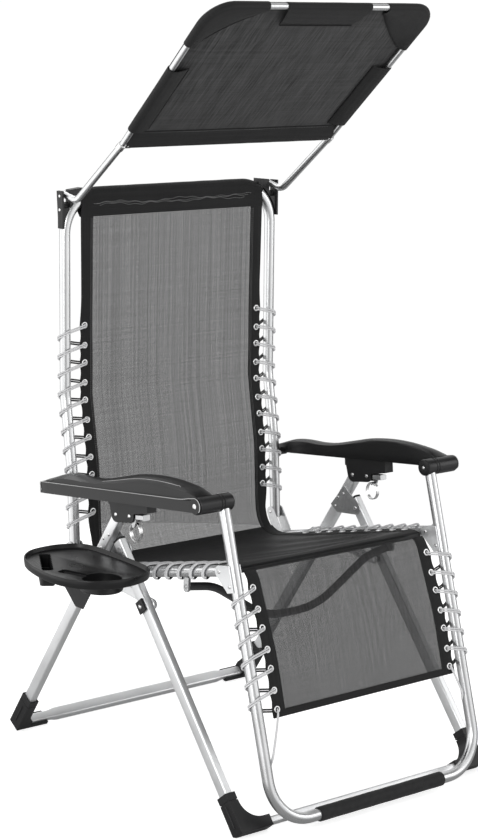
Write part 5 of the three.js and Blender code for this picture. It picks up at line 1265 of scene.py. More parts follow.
class LOUNGER_OT_armrests(PieceOperator):
    """Build the armrests with their crown, rim and channel"""

    bl_idname = "lounger.armrests"
    bl_label = "Armrests"

    def make(self, settings):
        shares = [(0, 0.3), (0.05, 0.62), (0.12, 0.8), (0.2, 0.93), (0.3, 1), (0.42, 0.96), (0.55, 0.75),
                  (0.66, 0.58), (0.75, 0.56), (0.84, 0.63), (0.92, 0.6), (1, 0.4), (1.04, 0.3)]
        smooth = catmull([Vector((a, b, 0)) for a, b in shares], 5)
        half, depth, top, inner_depth = ARM_HALF, 12, ARM_TOP, 2
        rings = []
        for p in smooth:
            share, crown = p.x, self.crown(p)
            ahead = -share * (ARM_LENGTH + ARM_BEYOND) + ARM_BEYOND
            origin = at_x(along(ARM_FRONT, ARM_FORWARD, ahead), ARM_X)
            lift = min(crown * 0.78, top + 4)
            end, start = min(1.0, (1.04 - share) / 0.035), min(1.0, (share + 0.02) / 0.03)
            tuck = 1 - 0.06 * (1 - min(end, start))
            outline = [(half, -depth), (half, top - 2.2), (half - 0.7, top - 0.5), (half - 2.2, top + 0.1),
                       (half - 4.6, top + 0.2), (half - 5.6, top - 0.5), (half - 6.4, top + 0.3),
                       (half - 7.0, lift), (half * 0.62, crown * 0.66 + 1.5), (half * 0.5, crown * 0.76),
                       (half * 0.38, crown * 0.815), (half * 0.1, crown * 0.92), (-half * 0.2, crown * 0.985),
                       (-half * 0.45, crown), (-half * 0.68, crown * 0.98), (-half * 0.86, crown * 0.92),
                       (-half * 0.97, crown * 0.84), (-half, crown * 0.74), (-half, -inner_depth + 1.5),
                       (-half + 0.5, -inner_depth)]
            rings.append([origin + X * (u * tuck) + ARM_NORMAL * v for u, v in outline])
        body = skin(Form(), rings[::-1]).mesh("arm_shell")
        start = at_x(along(ARM_FRONT, ARM_FORWARD, -24), ARM_X)
        end = along(start, ARM_FORWARD, -(ARM_LENGTH - 64))
        low = [along(p, ARM_NORMAL, -6) for p in (start, end)]
        channel = bar(Form(), low[0], low[1], X, 2 * (half - 3), 22, 2)
        saddle = tube(Form(), [at_x(ARM_FRONT, ARM_X - half - 5), at_x(ARM_FRONT, ARM_X + half - 3.2)],
                      BARREL_R + TURN_GAP, 48)
        carve(body, [channel.mesh("arm_channel"), saddle.mesh("barrel_seat")])
        cheek = turned(Form(), [(13.8, -3), (15, -2), (15, -0.8), (14.2, 0), (0, 0)],
                       at_x(ARM_FRONT, ARM_X + half), X, 40)
        boss = [at_x(ARM_REAR, x) for x in (FRAME_X + TUBE_R + TURN_GAP, ARM_X - half / 2)]
        boss = tube(Form(), boss, 8, 28)
        add_to(body, [cheek.mesh("arm_cheek"), boss.mesh("arm_boss")])
        pair(form_of(body), "armrest_shell", "armrest_{side}", finish("arm"), ["armrest"],
             sharp=28, bevel=0.6)
        self.highlight_beads(smooth)
        pin = turned(Form(), [(5.2, -0.6), (5.2, 0.5), (4.6, 0.9), (2.2, 1.0), (1.9, 0.6), (0, 0.6)],
                     at_x(ARM_FRONT, ARM_X + half), X, 24)
        pair(pin, "armrest_pin", "armrest_{side}", finish("bright"))

    @staticmethod
    def crown(p):
        """How high the crown stands at a point of the side's curve."""
        return max(44 * p.y, ARM_TOP + 3)

    def highlight_beads(self, smooth):
        """A raised bead round the side's upper edge and cheek, and one along the crown's crease, both in a
        pale plastic that paints the highlight these edges catch.
        """
        def spot(behind, rise, out):
            return at_x(along(along(ARM_FRONT, ARM_FORWARD, -behind), ARM_NORMAL, rise), ARM_X + out)

        half, top = ARM_HALF, ARM_TOP
        rim = [spot(490, -6, half - 0.3), spot(493, 4, half - 0.5), spot(490, top, half - 0.8)]
        rim += [spot(behind, top + 0.4, half - 0.7) for behind in range(470, 49, -35)]
        rim += [spot(34, 11.4, half - 0.5), spot(18, 13.6, half - 0.3)]
        rim += [spot(-ahead, rise, half - 0.2)
                for ahead, rise in arc(0, 0, 15.1, math.radians(96), math.radians(-136), 8)]
        form = tube(Form(), catmull(rim, 4), 0.8, 8)
        crease = [spot(46, top + 0.6, half - 7)]
        crease += [spot(p.x * (ARM_LENGTH + ARM_BEYOND) - ARM_BEYOND, self.crown(p) * 0.84 + 0.2, half * 0.32)
                   for p in smooth if 0.12 < p.x < 0.66]
        tube(form, catmull(crease, 2), 0.55, 6)
        # pale beads along the rim and crease: painted highlight
        pair(form, "armrest_bead", "armrest_{side}", finish("rim"), sharp=60)


class LOUNGER_OT_barrels(PieceOperator):
    """Build the turned barrels at the armrests' front ends"""

    bl_idname = "lounger.barrels"
    bl_label = "Armrest barrels"

    def make(self, settings):
        inner, outer, r = 250, ARM_X + ARM_HALF - 3 - 0.8, BARREL_R
        length = outer - inner
        profile = [(0, 0.6), (6.5, 0.6), (7, 0), (r - 3, 0), (r - 1.2, 0.6), (r - 0.3, 1.8), (r, 3.4)]
        for share in (0.3, 0.38):
            place = share * length
            profile += [(r, place - 1.7), (r - 1.1, place - 1.1), (r - 1.4, place), (r - 1.1, place + 1.1),
                        (r, place + 1.7)]
        profile += [(r, length - 1), (r - 1, length), (0, length)]
        form = turned(Form(), profile, at_x(ARM_FRONT, inner), X, 44)
        for k in range(7):
            a = math.radians(20 + 9 * k)
            out = Vector((0, math.sin(a), math.cos(a)))
            base = at_x(ARM_FRONT, ARM_X - ARM_HALF) + out * (r - 0.3)
            bar(form, base, along(base, X, 20), X.cross(out), 1.1, 1.1, 0.35, steps=2)
        pair(form, "armrest_barrel_cap", "leg_rest", finish("barrel"), ["armrest_barrel"],
             sharp=30)
        pin = turned(Form(), [(3.4, 0.3), (3.4, -0.6), (2.8, -1.1), (0, -1.3)], at_x(ARM_FRONT, inner), X, 20)
        pair(pin, "barrel_end_pin", "leg_rest", finish("bright"))


class LOUNGER_OT_locks(PieceOperator):
    """Finish the lock brackets, and build their rings and rivets"""

    bl_idname = "lounger.locks"
    bl_label = "Locks and rings"

    def make(self, settings):
        clamp = along(along(LOCK_PIVOT, ARM_FORWARD, 70), ARM_NORMAL, -1.3)
        pivot = along(along(clamp, ARM_FORWARD, -21), ARM_NORMAL, -16.5)
        ring_r, narrow, count = 18.5, 0.9, 48
        centre = along(pivot, DOWN, ring_r - 2 - 1.8 - TURN_GAP)
        profile = [(-3.4, -1.0), (-3.9, -0.4), (-3.9, 0.4), (-3.4, 1.0), (3.4, 1.0), (3.9, 0.4), (3.9, -0.4),
                   (3.4, -1.0)]
        rings = []
        for i in range(count + 1):
            a = math.tau * i / count
            out = Vector((0, math.cos(a) * narrow, math.sin(a)))
            middle = at_x(centre + out * (ring_r - 1.0), LEG_X)
            rings.append([middle + X * u + out.normalized() * w for u, w in profile])
        for text, _ in SIDES:
            refinish(f"lock_bracket_{text}", "plastic", 0.7)
        pair(skin(Form(), rings, caps=False), "lock_ring_band", "ring_{side}",
             finish("bright"), ["lock_ring"])
        rivet_heads("lock_rivets", "lock_{side}",
                    [(at_x(place, LEG_X + sign * 11.3), X * sign, 4.2, 1.7)
                     for place in (LOCK_PIVOT, along(LOCK_PIVOT, ARM_FORWARD, 43)) for _, sign in SIDES])


class LOUNGER_OT_back_sling(PieceOperator):
    """Build the back sling with its border, top hem, stitches and eyelets"""

    bl_idname = "lounger.back_sling"
    bl_label = "Back sling"

    def make(self, settings):
        wrap = TUBE_R + GAP + 0.8
        hip = soft_corner(HIP_CORNER, RAIL_BACK, BACK_LOW, HIP_TURN, 0.42, 1)
        line = [along(p, square(BACK_LOW), -2.6 * (1 - k / 16) ** 2) for k, p in enumerate(hip)]
        last = BACK_PLACES[0]
        for k in range(1, 90):
            d = HIP_TURN + (BACK_TOTAL - HIP_TURN) * k / 89
            point, front, _ = on_back(d)
            rise = SLING_RISE + (wrap - SLING_RISE) * max(d - last, 0) / (BACK_TOTAL - last)
            line.append(along(point, front, rise))
        places = [along(on_back(d)[0], on_back(d)[1], SLING_RISE) for d in BACK_PLACES]
        cloth = Cloth(line, places, back_surface, self.end_half)
        hem_low = arc_length(line)[-1] - HEM_TALL
        field = sling(cloth, "back_sling_mesh", "back", "mesh", "back_sling")
        border = piece(tapes(cloth, hem_low + 3), "back_sling_border", "back", finish("border"),
                       sharp=50)
        hem = piece(self.hem(cloth, hem_low, wrap), "back_sling_hem", "back", finish("border"),
                    sharp=50)
        threads = piece(self.threads(cloth, hem_low), "back_sling_stitches", "back",
                        finish("thread"), sharp=60)
        rings = piece(eyelets(cloth), "back_eyelets", "back", finish("eyelet"), sharp=50)

    @staticmethod
    def end_half(s, first, last):
        """Half the back cloth's width below its lowest and above its highest eyelet."""
        if s > last:
            t = min((s - last) / 60, 1)
            return SLING_HALF - 3.5 * t * (2 - t) + 3.5 * max(s - last - 60, 0) / 260
        t = min((first - s) / 50, 1)
        return SLING_HALF - 5 * t * t

    @staticmethod
    def threads(cloth, hem_low):
        """The borders' double seams, and the wavy rows across the hem."""
        form = Form()
        for x in (TAPE_INSIDE + 2.3, TAPE_INSIDE + 5.6):
            for _, sign in SIDES:
                run = [cloth.spot(s, x, 1.05, sign) for s in range(4, int(hem_low), 6)]
                stitches(form, run, square(BACK_HIGH))
        for place, wave, reach in ((22, 0.05, 190), (26, 0.037, 205), (24, 0.021, 198)):
            run = []
            for x in range(-reach, reach + 1, 5):
                s = hem_low + place + 2.6 * math.sin(x * wave + place) + 1.2 * math.sin(x * 0.17)
                rise = cloth.surface(s, x) * (1 - (s - hem_low) / HEM_TALL)
                run.append(cloth.lift(s, x, rise + 2.0))
            stitches(form, run, square(BACK_HIGH), 5.6, 3.8, 0.55)
        return form

    @staticmethod
    def hem(cloth, hem_low, wrap):
        """The wide top hem: up the front, over the top tube and its bends, and down behind to its seam."""
        front, count = square(BACK_HIGH), 72
        flat_half, turn = FRAME_X - TOP_BEND, math.radians(36)
        total = flat_half + TOP_BEND * turn
        rows = {1: [], -1: []}
        for k in range(count + 1):
            place = total * (2 * k / count - 1)
            sign = math.copysign(1, place)
            angle = max(abs(place) - flat_half, 0) / TOP_BEND
            x = sign * (min(abs(place), flat_half) + TOP_BEND * math.sin(angle))
            middle = at_x(along(BACK_TOP, BACK_HIGH, -TOP_BEND * (1 - math.cos(angle))), x)
            out = X * (sign * math.sin(angle)) + BACK_HIGH * math.cos(angle)
            low_x = (cloth.half(hem_low) + 0.4) * (2 * k / count - 1)
            wave = noise.noise(Vector((place * 0.03, 2.0, 5.0)))
            for level, grow in ((1, 1.3), (-1, 0.3)):
                r = wrap + grow + 0.3 * wave
                start, first, last = cloth.spot(hem_low, low_x, grow), middle + front * r, middle - front * r
                row = []
                for j in range(12):
                    t = j / 12
                    p = start.lerp(first, t)
                    ripple = 0.7 * noise.noise(Vector((p.x * 0.02, t * 3, 2.2))) * math.sin(math.pi * t)
                    row.append(along(p, front, ripple))
                row += [middle + (front * math.cos(b) + out * math.sin(b)) * r
                        for b in (math.pi * j / 16 for j in range(17))]
                end = cloth.spot(hem_low, low_x, -1.6 - grow)
                row += [along(last.lerp(end, t), front, -2.0 * math.sin(math.pi * t))
                        for t in (j / 9 for j in range(1, 10))]
                rows[level].append(row)
        return thick_sheet(Form(), rows[1], rows[-1])


class LOUNGER_OT_seat_sling(PieceOperator):
    """Build the seat sling with its ridges, border and eyelets"""

    bl_idname = "lounger.seat_sling"
    bl_label = "Seat sling"

    def make(self, settings):
        knee = soft_corner(KNEE_CORNER, -KNEE_FALL, RAIL_BACK, KNEE_TURN, 0.5 + KNEE_SHARE, 1)
        hip = soft_corner(HIP_CORNER, RAIL_BACK, BACK_LOW, HIP_TURN, 0, 0.494)
        places = [on_rail(d, SLING_RISE) for d in SEAT_PLACES]
        cloth = Cloth(knee + hip, places, seat_surface, lambda s, first, last: SLING_HALF - 3, SEAT_SPREAD)
        field = sling(cloth, "seat_sling_cloth", "seat", "seat", "seat_sling")
        border = piece(front_hem(tapes(cloth, cloth.total - 1), cloth, 0.5, 16), "seat_sling_border", "seat",
                       finish("border"), sharp=50)
        rings = piece(eyelets(cloth), "seat_eyelets", "seat", finish("eyelet"), sharp=50)


class LOUNGER_OT_leg_sling(PieceOperator):
    """Build the leg rest sling with its border, hem and eyelets"""

    bl_idname = "lounger.leg_sling"
    bl_label = "Leg rest sling"

    def make(self, settings):
        knee = soft_corner(KNEE_CORNER, -KNEE_FALL, RAIL_BACK, KNEE_TURN, 0, 0.5 - KNEE_SHARE)
        line = [on_leg_rest(LEG_PLACES[-1] + 14, SLING_RISE), on_leg_rest(LEG_LEVEL, SLING_RISE)] + knee
        places = [on_leg_rest(d, SLING_RISE - leg_sink(d)) for d in LEG_PLACES]
        cloth = Cloth(line, places, leg_surface, self.end_half)
        field = sling(cloth, "leg_sling_mesh", "leg_rest", "leg_mesh", "leg_sling")
        border = piece(front_hem(tapes(cloth, cloth.total - 1), cloth, 0.4, 14), "leg_sling_border",
                       "leg_rest", finish("border"), sharp=50)
        rings = piece(eyelets(cloth), "leg_eyelets", "leg_rest", finish("eyelet"), sharp=50)

    @staticmethod
    def end_half(s, first, last):
        """Half the cloth's width before its first and beyond its last eyelet."""
        return SLING_HALF if s < first else SLING_HALF - min((s - last) / 14, 1) * 4


class LOUNGER_OT_lacing(PieceOperator):
    """Lace the slings to the tubes with doubled elastic cord"""

    bl_idname = "lounger.lacing"
    bl_label = "Lacing"

    def make(self, settings):
        radius = round(settings.cord_radius / MM, 3)
        lacing(radius, "back_cord", on_back, BACK_PLACES, -PITCH, "back", "back_lacing")
        lacing(radius, "seat_cord", seat_tube, SEAT_PLACES, PITCH / 2, "seat", "seat_lacing")
        lacing(radius, "leg_cord", leg_tube, LEG_PLACES, 2.4 * PITCH, "leg_rest", "leg_lacing", leg_sink)


class LOUNGER_OT_foam_grip(PieceOperator):
    """Build the foam grip on the foot bar"""

    bl_idname = "lounger.foam_grip"
    bl_label = "Foam grip"

    def make(self, settings):
        half, soft, bore = 161, 14, 11.4
        profile = [(bore, 0), (12.6, 0), (13.5, 0.7), (soft, 2.2)]
        for k in range(1, 40):
            d = 2.2 + (2 * half - 4.4) * k / 40
            profile.append((soft + 0.14 * math.sin(d * 0.11), d))
        profile += [(soft, 2 * half - 2.2), (13.5, 2 * half - 0.7), (12.6, 2 * half), (bore, 2 * half)]
        origin = at_x(on_leg_rest(LEG_LENGTH), -half)
        rings = [circle(origin + X * d, Y, UP, r, 32) for r, d in profile]
        form = skin(Form(), rings, caps=False)
        skin(form, [rings[-1], rings[0]], caps=False)
        made = piece(form, "foam_grip_sleeve", "leg_rest", finish("foam"), ["foam_grip"], sharp=45)


# Canopy
ENVELOPE = CANOPY_R + 1.1
HEM_DEEP = 32
REAR_ROD = -1
TOP_RISE = 1.2


def flare(t):
    """How much wider the canopy is on each side at a distance from its rear."""
    return CANOPY_FLARE * t / CANOPY_LENGTH


def widened(x, t):
    return x * (1 + flare(t) / CANOPY_X)


def corner_centre():
    """Where a front corner's arc has its centre, and the side's slope."""
    slope = math.atan2(CANOPY_FLARE, CANOPY_LENGTH)
    t = CANOPY_LENGTH - CANOPY_CORNER
    return CANOPY_X + flare(t) - CANOPY_CORNER / math.cos(slope), t, slope


def canopy_edge(beyond=0):
    """A line round the cover as (x, t), from one rear end to the other, outside the tube's middle line."""
    cx, ct, slope = corner_centre()
    line = [(CANOPY_X + beyond + flare(t), t) for t in (2, 60, 130, 200, 260)]
    line += arc(cx, ct, CANOPY_CORNER + beyond, -slope, math.pi / 2 + slope, 14)
    return line + [(-x, t) for x, t in reversed(line)]


def inside_tube(x, t):
    """A point's distance from the tube's middle line, positive inside the frame."""
    cx, ct, _ = corner_centre()
    if abs(x) > cx and t > ct:
        return CANOPY_CORNER - math.hypot(abs(x) - cx, t - ct)
    return min(CANOPY_X + flare(t) - abs(x), CANOPY_LENGTH - t)


def cover_rise(x, t):
    """How far the cover lies above the frame's plane: high over the tubes, a soft sag with pulls between."""
    near = inside_tube(x, t)
    if near < 0:
        return math.sqrt(max(ENVELOPE ** 2 - near ** 2, 1))
    near = min(near, abs(t - 8) + 4)
    ease = math.exp(-near / 26)
    share = min(max(t / CANOPY_LENGTH, 0), 1)
    sag = 1.6 * math.sin(math.pi * share) * math.cos(math.pi * x / (2.2 * CANOPY_X))
    pull_x, pull_t, pull_spread = 175, 300, 4200
    corner = math.exp(-((abs(x) - pull_x) ** 2 + (t - pull_t) ** 2) / pull_spread)
    pulls = 1.1 * math.sin((t * 0.8 + abs(x)) * 0.085) * corner
    pulls += 0.8 * noise.noise(Vector((x * 0.012, t * 0.012, 9.0)))
    return TOP_RISE + (ENVELOPE - TOP_RISE) * ease - sag + pulls * (1 - ease)


class LOUNGER_OT_canopy_frame(PieceOperator):
    """Build the canopy's bent tube, its arms, bar, collars and end fittings"""

    bl_idname = "lounger.canopy_frame"
    bl_label = "Canopy frame"

    def make(self, settings):
        aluminium = finish("tube")
        corners = [at_x(on_canopy(0), -CANOPY_X), at_x(on_canopy(CANOPY_LENGTH), -CANOPY_X - CANOPY_FLARE)]
        corners += [mirrored(p) for p in reversed(corners)]
        line = divided(bent(corners, [CANOPY_CORNER, CANOPY_CORNER]), 30)
        piece(tube(Form(), line, CANOPY_R, 24, edge=0.5), "canopy_frame_tube", "canopy",
              aluminium, ["canopy_frame"])
        tail = along(CANOPY_PIVOT, leaning(90 - NECK_DROP), CANOPY_ARM_R)
        corners = [at_x(p, CANOPY_X) for p in (tail, CANOPY_NECK, along(CANOPY_ROOT, CANOPY_ARM_UP, -1))]
        pair(tube(Form(), divided(bent(corners, [30]), 25), CANOPY_ARM_R, 24, edge=0.6), "canopy_arm_tube",
             "canopy", aluminium, ["canopy_arm"])
        reach = CANOPY_X - CANOPY_R - GAP
        line = divided([on_canopy(REAR_ROD, 0, -reach), on_canopy(REAR_ROD, 0, reach)], 40)
        piece(tube(Form(), line, 5, 20, edge=0.4), "canopy_rear_rod", "canopy", aluminium,
              ["canopy_rear_bar"])
        form = turned(Form(), [(7.2, -16), (8.3, -15.2), (8.3, -1), (7.6, 0), (6.4, 0.2)],
                      at_x(CANOPY_ROOT, CANOPY_X), CANOPY_ARM_UP, 28)
        fitting = on_canopy(REAR_ROD, 0, CANOPY_X - 4)
        bar(form, along(fitting, X, -14), along(fitting, X, 2), CANOPY_UP, 13, 13, 3)
        rivet(form, along(along(fitting, X, -5), CANOPY_NORMAL, -6.5), -CANOPY_NORMAL, 2.4, 1.4)
        pair(form, "canopy_end_fitting", "canopy", finish("bright"), bevel=0.5)


class LOUNGER_OT_canopy_cover(PieceOperator):
    """Build the canopy's cover with its corner pockets, sleeves and hem"""

    bl_idname = "lounger.canopy_cover"
    bl_label = "Canopy cover"

    def make(self, settings):
        front = CANOPY_LENGTH
        cover = piece(self.panel(), "canopy_cover", "canopy", finish("canopy"),
                      ["canopy_fabric"], sharp=60)
        flaps = Form()
        edge = canopy_edge()
        side_low, side_high = 42, 215
        for sign, pocket_low, bow in ((1, 270, -2), (-1, 282, 7)):
            places = [side_low + (side_high - side_low) * k / 12 for k in range(13)]
            self.flap(flaps, [(sign * (CANOPY_X + flare(t)), t) for t in places],
                      [(sign * widened(227, t), t) for t in places])
            corner = [(x, t) for x, t in edge if x * sign > 0 and t > pocket_low]
            outer = [(sign * (CANOPY_X + flare(pocket_low)), pocket_low), *corner[::sign],
                     (sign * widened(143, front), front)]
            inner = []
            for k in range(30):
                a = k / 29
                bulge = bow * math.sin(math.pi * a)
                x = 248 + (146 - 248) * a + bulge
                t = pocket_low + (front - 20 - pocket_low) * a + bulge
                inner.append((sign * widened(x, t), t))
            self.flap(flaps, flat_spaced(outer, 30), inner)
        shares = [1 - k / 8 for k in range(17)]
        self.flap(flaps, [(widened(100, front) * share, front) for share in shares],
                  [(90 * share, front - 51) for share in shares])
        # the second slot is the dark edge cord: painted shadow of the fold gaps
        pockets = piece(flaps, "canopy_pockets", "canopy", finish("pocket", "seam"), sharp=50)
        hem = piece(self.rear_hem(), "canopy_rear_hem", "canopy", finish("pocket"), sharp=50)
        run = [on_canopy(HEM_DEEP - 2.5, cover_rise(x, HEM_DEEP) - 1.6, x) for x in range(-244, 245, 6)]
        threads = piece(stitches(Form(), run, -CANOPY_NORMAL, 4.4, 3.0, 0.35), "canopy_stitches", "canopy",
                        finish("thread"), sharp=60)

    @staticmethod
    def outline():
        """The cover's cut edge in the canopy's plane: over the tubes, with a notch at each rear fitting."""
        beyond = 5
        notch = [(250, 2), (250, 40), (262, 43)]
        edge = [(x, t) for x, t in canopy_edge(beyond) if t > 50]
        half = len(edge) // 2
        front = [(0, CANOPY_LENGTH + beyond)]
        return notch + edge[:half] + front + edge[half:] + [(-x, t) for x, t in reversed(notch)]

    def panel(self):
        """The cover's single layer, meshed as a grid inside its cut edge."""
        outline = self.outline()
        fine = flat_spaced(outline + [outline[0]], 300)[:-1]
        step, clear = 9, 4.5
        grid = [(i * step, 4 + k * step) for i in range(-31, 32) for k in range(45)]
        points = [Vector(p) for p in fine + [p for p in grid if inside_outline(*p, fine, clear)]]
        count = len(fine)
        edges = [(k, (k + 1) % count) for k in range(count)]
        verts, _, faces, _, _, _ = geometry.delaunay_2d_cdt(points, edges, [], 1, 1e-4)
        made = [on_canopy(v.y, cover_rise(v.x, v.y), v.x) for v in verts]
        faces = [list(f) for f in faces]
        for i, f in enumerate(faces):
            a, b, c = (verts[k] for k in f[:3])
            if (b.x - a.x) * (c.y - a.y) - (b.y - a.y) * (c.x - a.x) < 0:
                faces[i] = f[::-1]
        return Form().add(made, faces, [[(verts[k].x * MM, verts[k].y * MM) for k in f] for f in faces])

    @staticmethod
    def flap(form, outer, inner):
        """Cloth that goes from the cover's edge round the tube and back under it to its seam."""
        wraps, spans, thick, count = 10, 9, 0.9, len(outer)
        middle = Vector((0, 190, 0))
        rings = []
        for i, ((ox, ot), (ix, it)) in enumerate(zip(outer, inner)):
            ax, at = outer[max(i - 1, 0)]
            bx, bt = outer[min(i + 1, count - 1)]
            direction = Vector((bx - ax, bt - at, 0)).normalized()
            normal = Vector((direction.y, -direction.x, 0))
            if normal.dot(Vector((ox, ot, 0)) - middle) < 0:
                normal.negate()
            r = ENVELOPE + 0.5 + 0.3 * noise.noise(Vector((ox * 0.02, ot * 0.02, 3.0)))
            ring = []
            for k in range(wraps + 1):
                a = math.pi / 2 - math.pi * k / wraps
                x, t = ox + normal.x * r * math.cos(a), ot + normal.y * r * math.cos(a)
                ring.append((x, t, r * math.sin(a)))
            for k in range(1, spans + 1):
                s = k / spans
                x, t = ox + (ix - ox) * s, ot + (it - ot) * s
                ripple = 0.7 * noise.noise(Vector((x * 0.03, t * 0.03, 8.0))) * math.sin(math.pi * s)
                ring.append((x, t, -r + (r + cover_rise(ix, it) - 1.2) * s ** 2.2 + ripple))
            rings.append([on_canopy(t, rise, x) for x, t, rise in ring])
        # a dark cord along the flap's inner edge: painted shadow of the fold gap
        tube(form, [along(ring[-1], CANOPY_NORMAL, -1.1) for ring in rings], 0.9, 6, 1)
        inner_rows = []
        for i, ring in enumerate(rings):
            row = []
            for k, p in enumerate(ring):
                a, b = ring[max(k - 1, 0)], ring[min(k + 1, len(ring) - 1)]
                c, d = rings[max(i - 1, 0)][k], rings[min(i + 1, count - 1)][k]
                normal = (b - a).cross(d - c)
                normal = normal.normalized() if normal.length > 1e-6 else CANOPY_NORMAL
                row.append(p + normal * thick)
            inner_rows.append(row)
        thick_sheet(form, rings, inner_rows)

    @staticmethod
    def rear_hem():
        """The hem that wraps the rear rod and is sewn flat under the cover."""
        count, half, thick = 56, 262, 0.8
        rows_out, rows_in = [], []
        for k in range(count + 1):
            x = half * (2 * k / count - 1)
            r = 6.4 + 0.25 * noise.noise(Vector((x * 0.03, 0, 6.0))) + 1.0
            ring = []
            for j in range(6):
                share = j / 5
                t = HEM_DEEP + 1 - (HEM_DEEP + 1 - REAR_ROD) * j / 5
                ring.append((t, (cover_rise(x, t) + 0.7) * (1 - share) + r * share))
            ring += arc(REAR_ROD, 0, r, math.pi / 2, math.pi, 12)[1:]
            for j in range(1, 8):
                share = j / 7
                t = REAR_ROD + (HEM_DEEP - REAR_ROD) * share
                ripple = 0.5 * noise.noise(Vector((x * 0.02, t * 0.1, 2.0))) * math.sin(math.pi * share)
                ring.append((t, -r + (r + cover_rise(x, t) - 1.1) * share ** 1.6 + ripple))
            inner = []
            for j, (t, rise) in enumerate(ring):
                a, b = ring[max(j - 1, 0)], ring[min(j + 1, len(ring) - 1)]
                dt, dr = b[0] - a[0], b[1] - a[1]
                length = math.hypot(dt, dr) or 1
                inner.append(on_canopy(t - dr / length * thick, rise + dt / length * thick, x))
            rows_out.append([on_canopy(t, rise, x) for t, rise in ring])
            rows_in.append(inner)
        return thick_sheet(Form(), rows_out, rows_in)


class LOUNGER_OT_gussets(PieceOperator):
    """Build the corner gussets that carry the canopy"""

    bl_idname = "lounger.gussets"
    bl_label = "Canopy gussets"

    def make(self, settings):
        top_run, front = (BACK_TOP - BACK_B).length, square(BACK_HIGH)
        clear, middle = TOP_BEND + TUBE_R + GAP, FRAME_X - TOP_BEND
        below, above, inner, outer, face = 66, 8, 228, 277, 276.2
        low, high = top_run - below, top_run + above
        first, last = math.asin((TOP_BEND - below) / clear), math.acos((inner - middle) / clear)
        outline = [(outer, low), (outer, high), (inner, high + 5),
                   *arc(middle, top_run - TOP_BEND, clear, last, first - last, 12)]
        behind = along(at_x(BACK_B, 0), front, -8.5)
        web = slab(Form(), outline, behind, X, BACK_HIGH, 16.5).mesh("gusset_web")
        mouth = bar(Form(), at_x(along(CANOPY_PIVOT, BACK_HIGH, -26), CANOPY_X),
                    at_x(along(CANOPY_PIVOT, BACK_HIGH, 30), CANOPY_X), X, 16, 60, 1)
        mouth.points = [along(p, front, 30) for p in mouth.points]
        turn = tube(Form(), [at_x(CANOPY_PIVOT, CANOPY_X - 8), at_x(CANOPY_PIVOT, CANOPY_X + 8)], 17)
        plate = [(high, 11.5), (high, -8.5), (low, -3), (low, 11.5)]
        cheek = slab(Form(), plate, at_x(BACK_B, face), BACK_HIGH, front, 3.6)
        carve(web, [mouth.mesh("gusset_mouth"), turn.mesh("gusset_turn")])
        pair(form_of(add_to(web, [cheek.mesh("gusset_plate")])), "canopy_gusset_moulding", "back",
             finish("plastic"), ["canopy_gusset"], bevel=0.8)
        rivet_heads("gusset_rivets", "back",
                    [(along(along(at_x(BACK_B, face + 3.6), BACK_HIGH, high - down), front, 2), X, 3.1, 1.5)
                     for down in (10, 37)])


class LOUNGER_OT_tray(PieceOperator):
    """Build the side tray with its rim, cup recess, handle notch and ribbed slot"""

    bl_idname = "lounger.tray"
    bl_label = "Side tray"

    def make(self, settings):
        shares = [(0.96, -0.35), (0.96, 0.5), (0.85, 0.82), (0.5, 0.97), (0.1, 1), (-0.35, 0.93),
                  (-0.72, 0.68), (-0.92, 0.3), (-1, -0.15), (-0.92, -0.52), (-0.62, -0.82), (-0.1, -0.97),
                  (0.45, -0.93), (0.83, -0.76)]

        def outline(grow):
            points = [Vector((x * (97 + grow), y * (138 + grow), 0)) for x, y in shares]
            return catmull(points, 8, closed=True)

        def level_axes(degrees):
            a = math.radians(degrees)
            u = Vector((math.cos(a), math.sin(a), 0))
            return u, Vector((-u.y, u.x, 0))

        origin, cup, slot, grip = (
            Vector((x, y, 0)) for x, y in ((-419, 56), (-430, -20), (-455, 124), (-452, 22)))
        top, deep, floor = 460, 18, 451
        base = top - deep
        cup_low, slot_low = top - 33, top - 39
        stations = [(-7, base), (-3.2, base + 0.6), (-1.6, base + 2.6), (-0.2, top - 5), (0, top - 2),
                    (-0.5, top - 0.5), (-1.5, top), (-2.4, top - 0.3), (-3.0, top - 1.4), (-3.6, floor + 2.5),
                    (-4.8, floor + 0.8), (-7.5, floor)]
        rings = [[origin + Vector((p.x, p.y, z)) for p in outline(grow)] for grow, z in stations]
        body = skin(Form(), rings).mesh("tray_shell")
        bowl = turned(Form(), [(37, 0), (39.5, 0.8), (41, 3), (41, floor - 1 - cup_low)], cup + UP * cup_low,
                      UP, 56)
        u, v = level_axes(58)
        pocket = slab(Form(), rounded_rectangle(122, 28, 7), slot + UP * slot_low, u, v, floor - 1 - slot_low)
        add_to(body, [bowl.mesh("cup_bowl"), pocket.mesh("slot_pocket")])
        rise = floor - cup_low
        recess = turned(Form(), [(34, 0), (37, 1.2), (38, 4), (38, rise - 5), (39.2, rise - 3.4),
                                 (40.2, rise - 3), (40.2, 40)], cup + UP * (cup_low + 3), UP, 56)
        well = slab(Form(), rounded_rectangle(116, 22, 5.5), slot + UP * (slot_low + 3), u, v, 60)
        notch = slab(Form(), rounded_rectangle(84, 24, 6), grip + UP * (floor - 5), *level_axes(110), 20)
        carve(body, [recess.mesh("cup_recess"), well.mesh("slot_well"), notch.mesh("handle_notch")])
        piece(form_of(body), "tray_moulding", "base", finish("tray"), ["tray"], sharp=32,
              bevel=0.7)
        ribs = Form()
        for k in range(9):
            place = slot + u * (-48 + 12 * k)
            for _, sign in SIDES:
                start = place + v * (sign * 11) + UP * (slot_low + 3.5)
                bar(ribs, start, start + UP * 25.5, u, 2.4, 3.0, 0.6, steps=2)
        piece(ribs, "tray_slot_ribs", "base", finish("tray"))
        refinish("tray_clip", "plastic", 0.8)


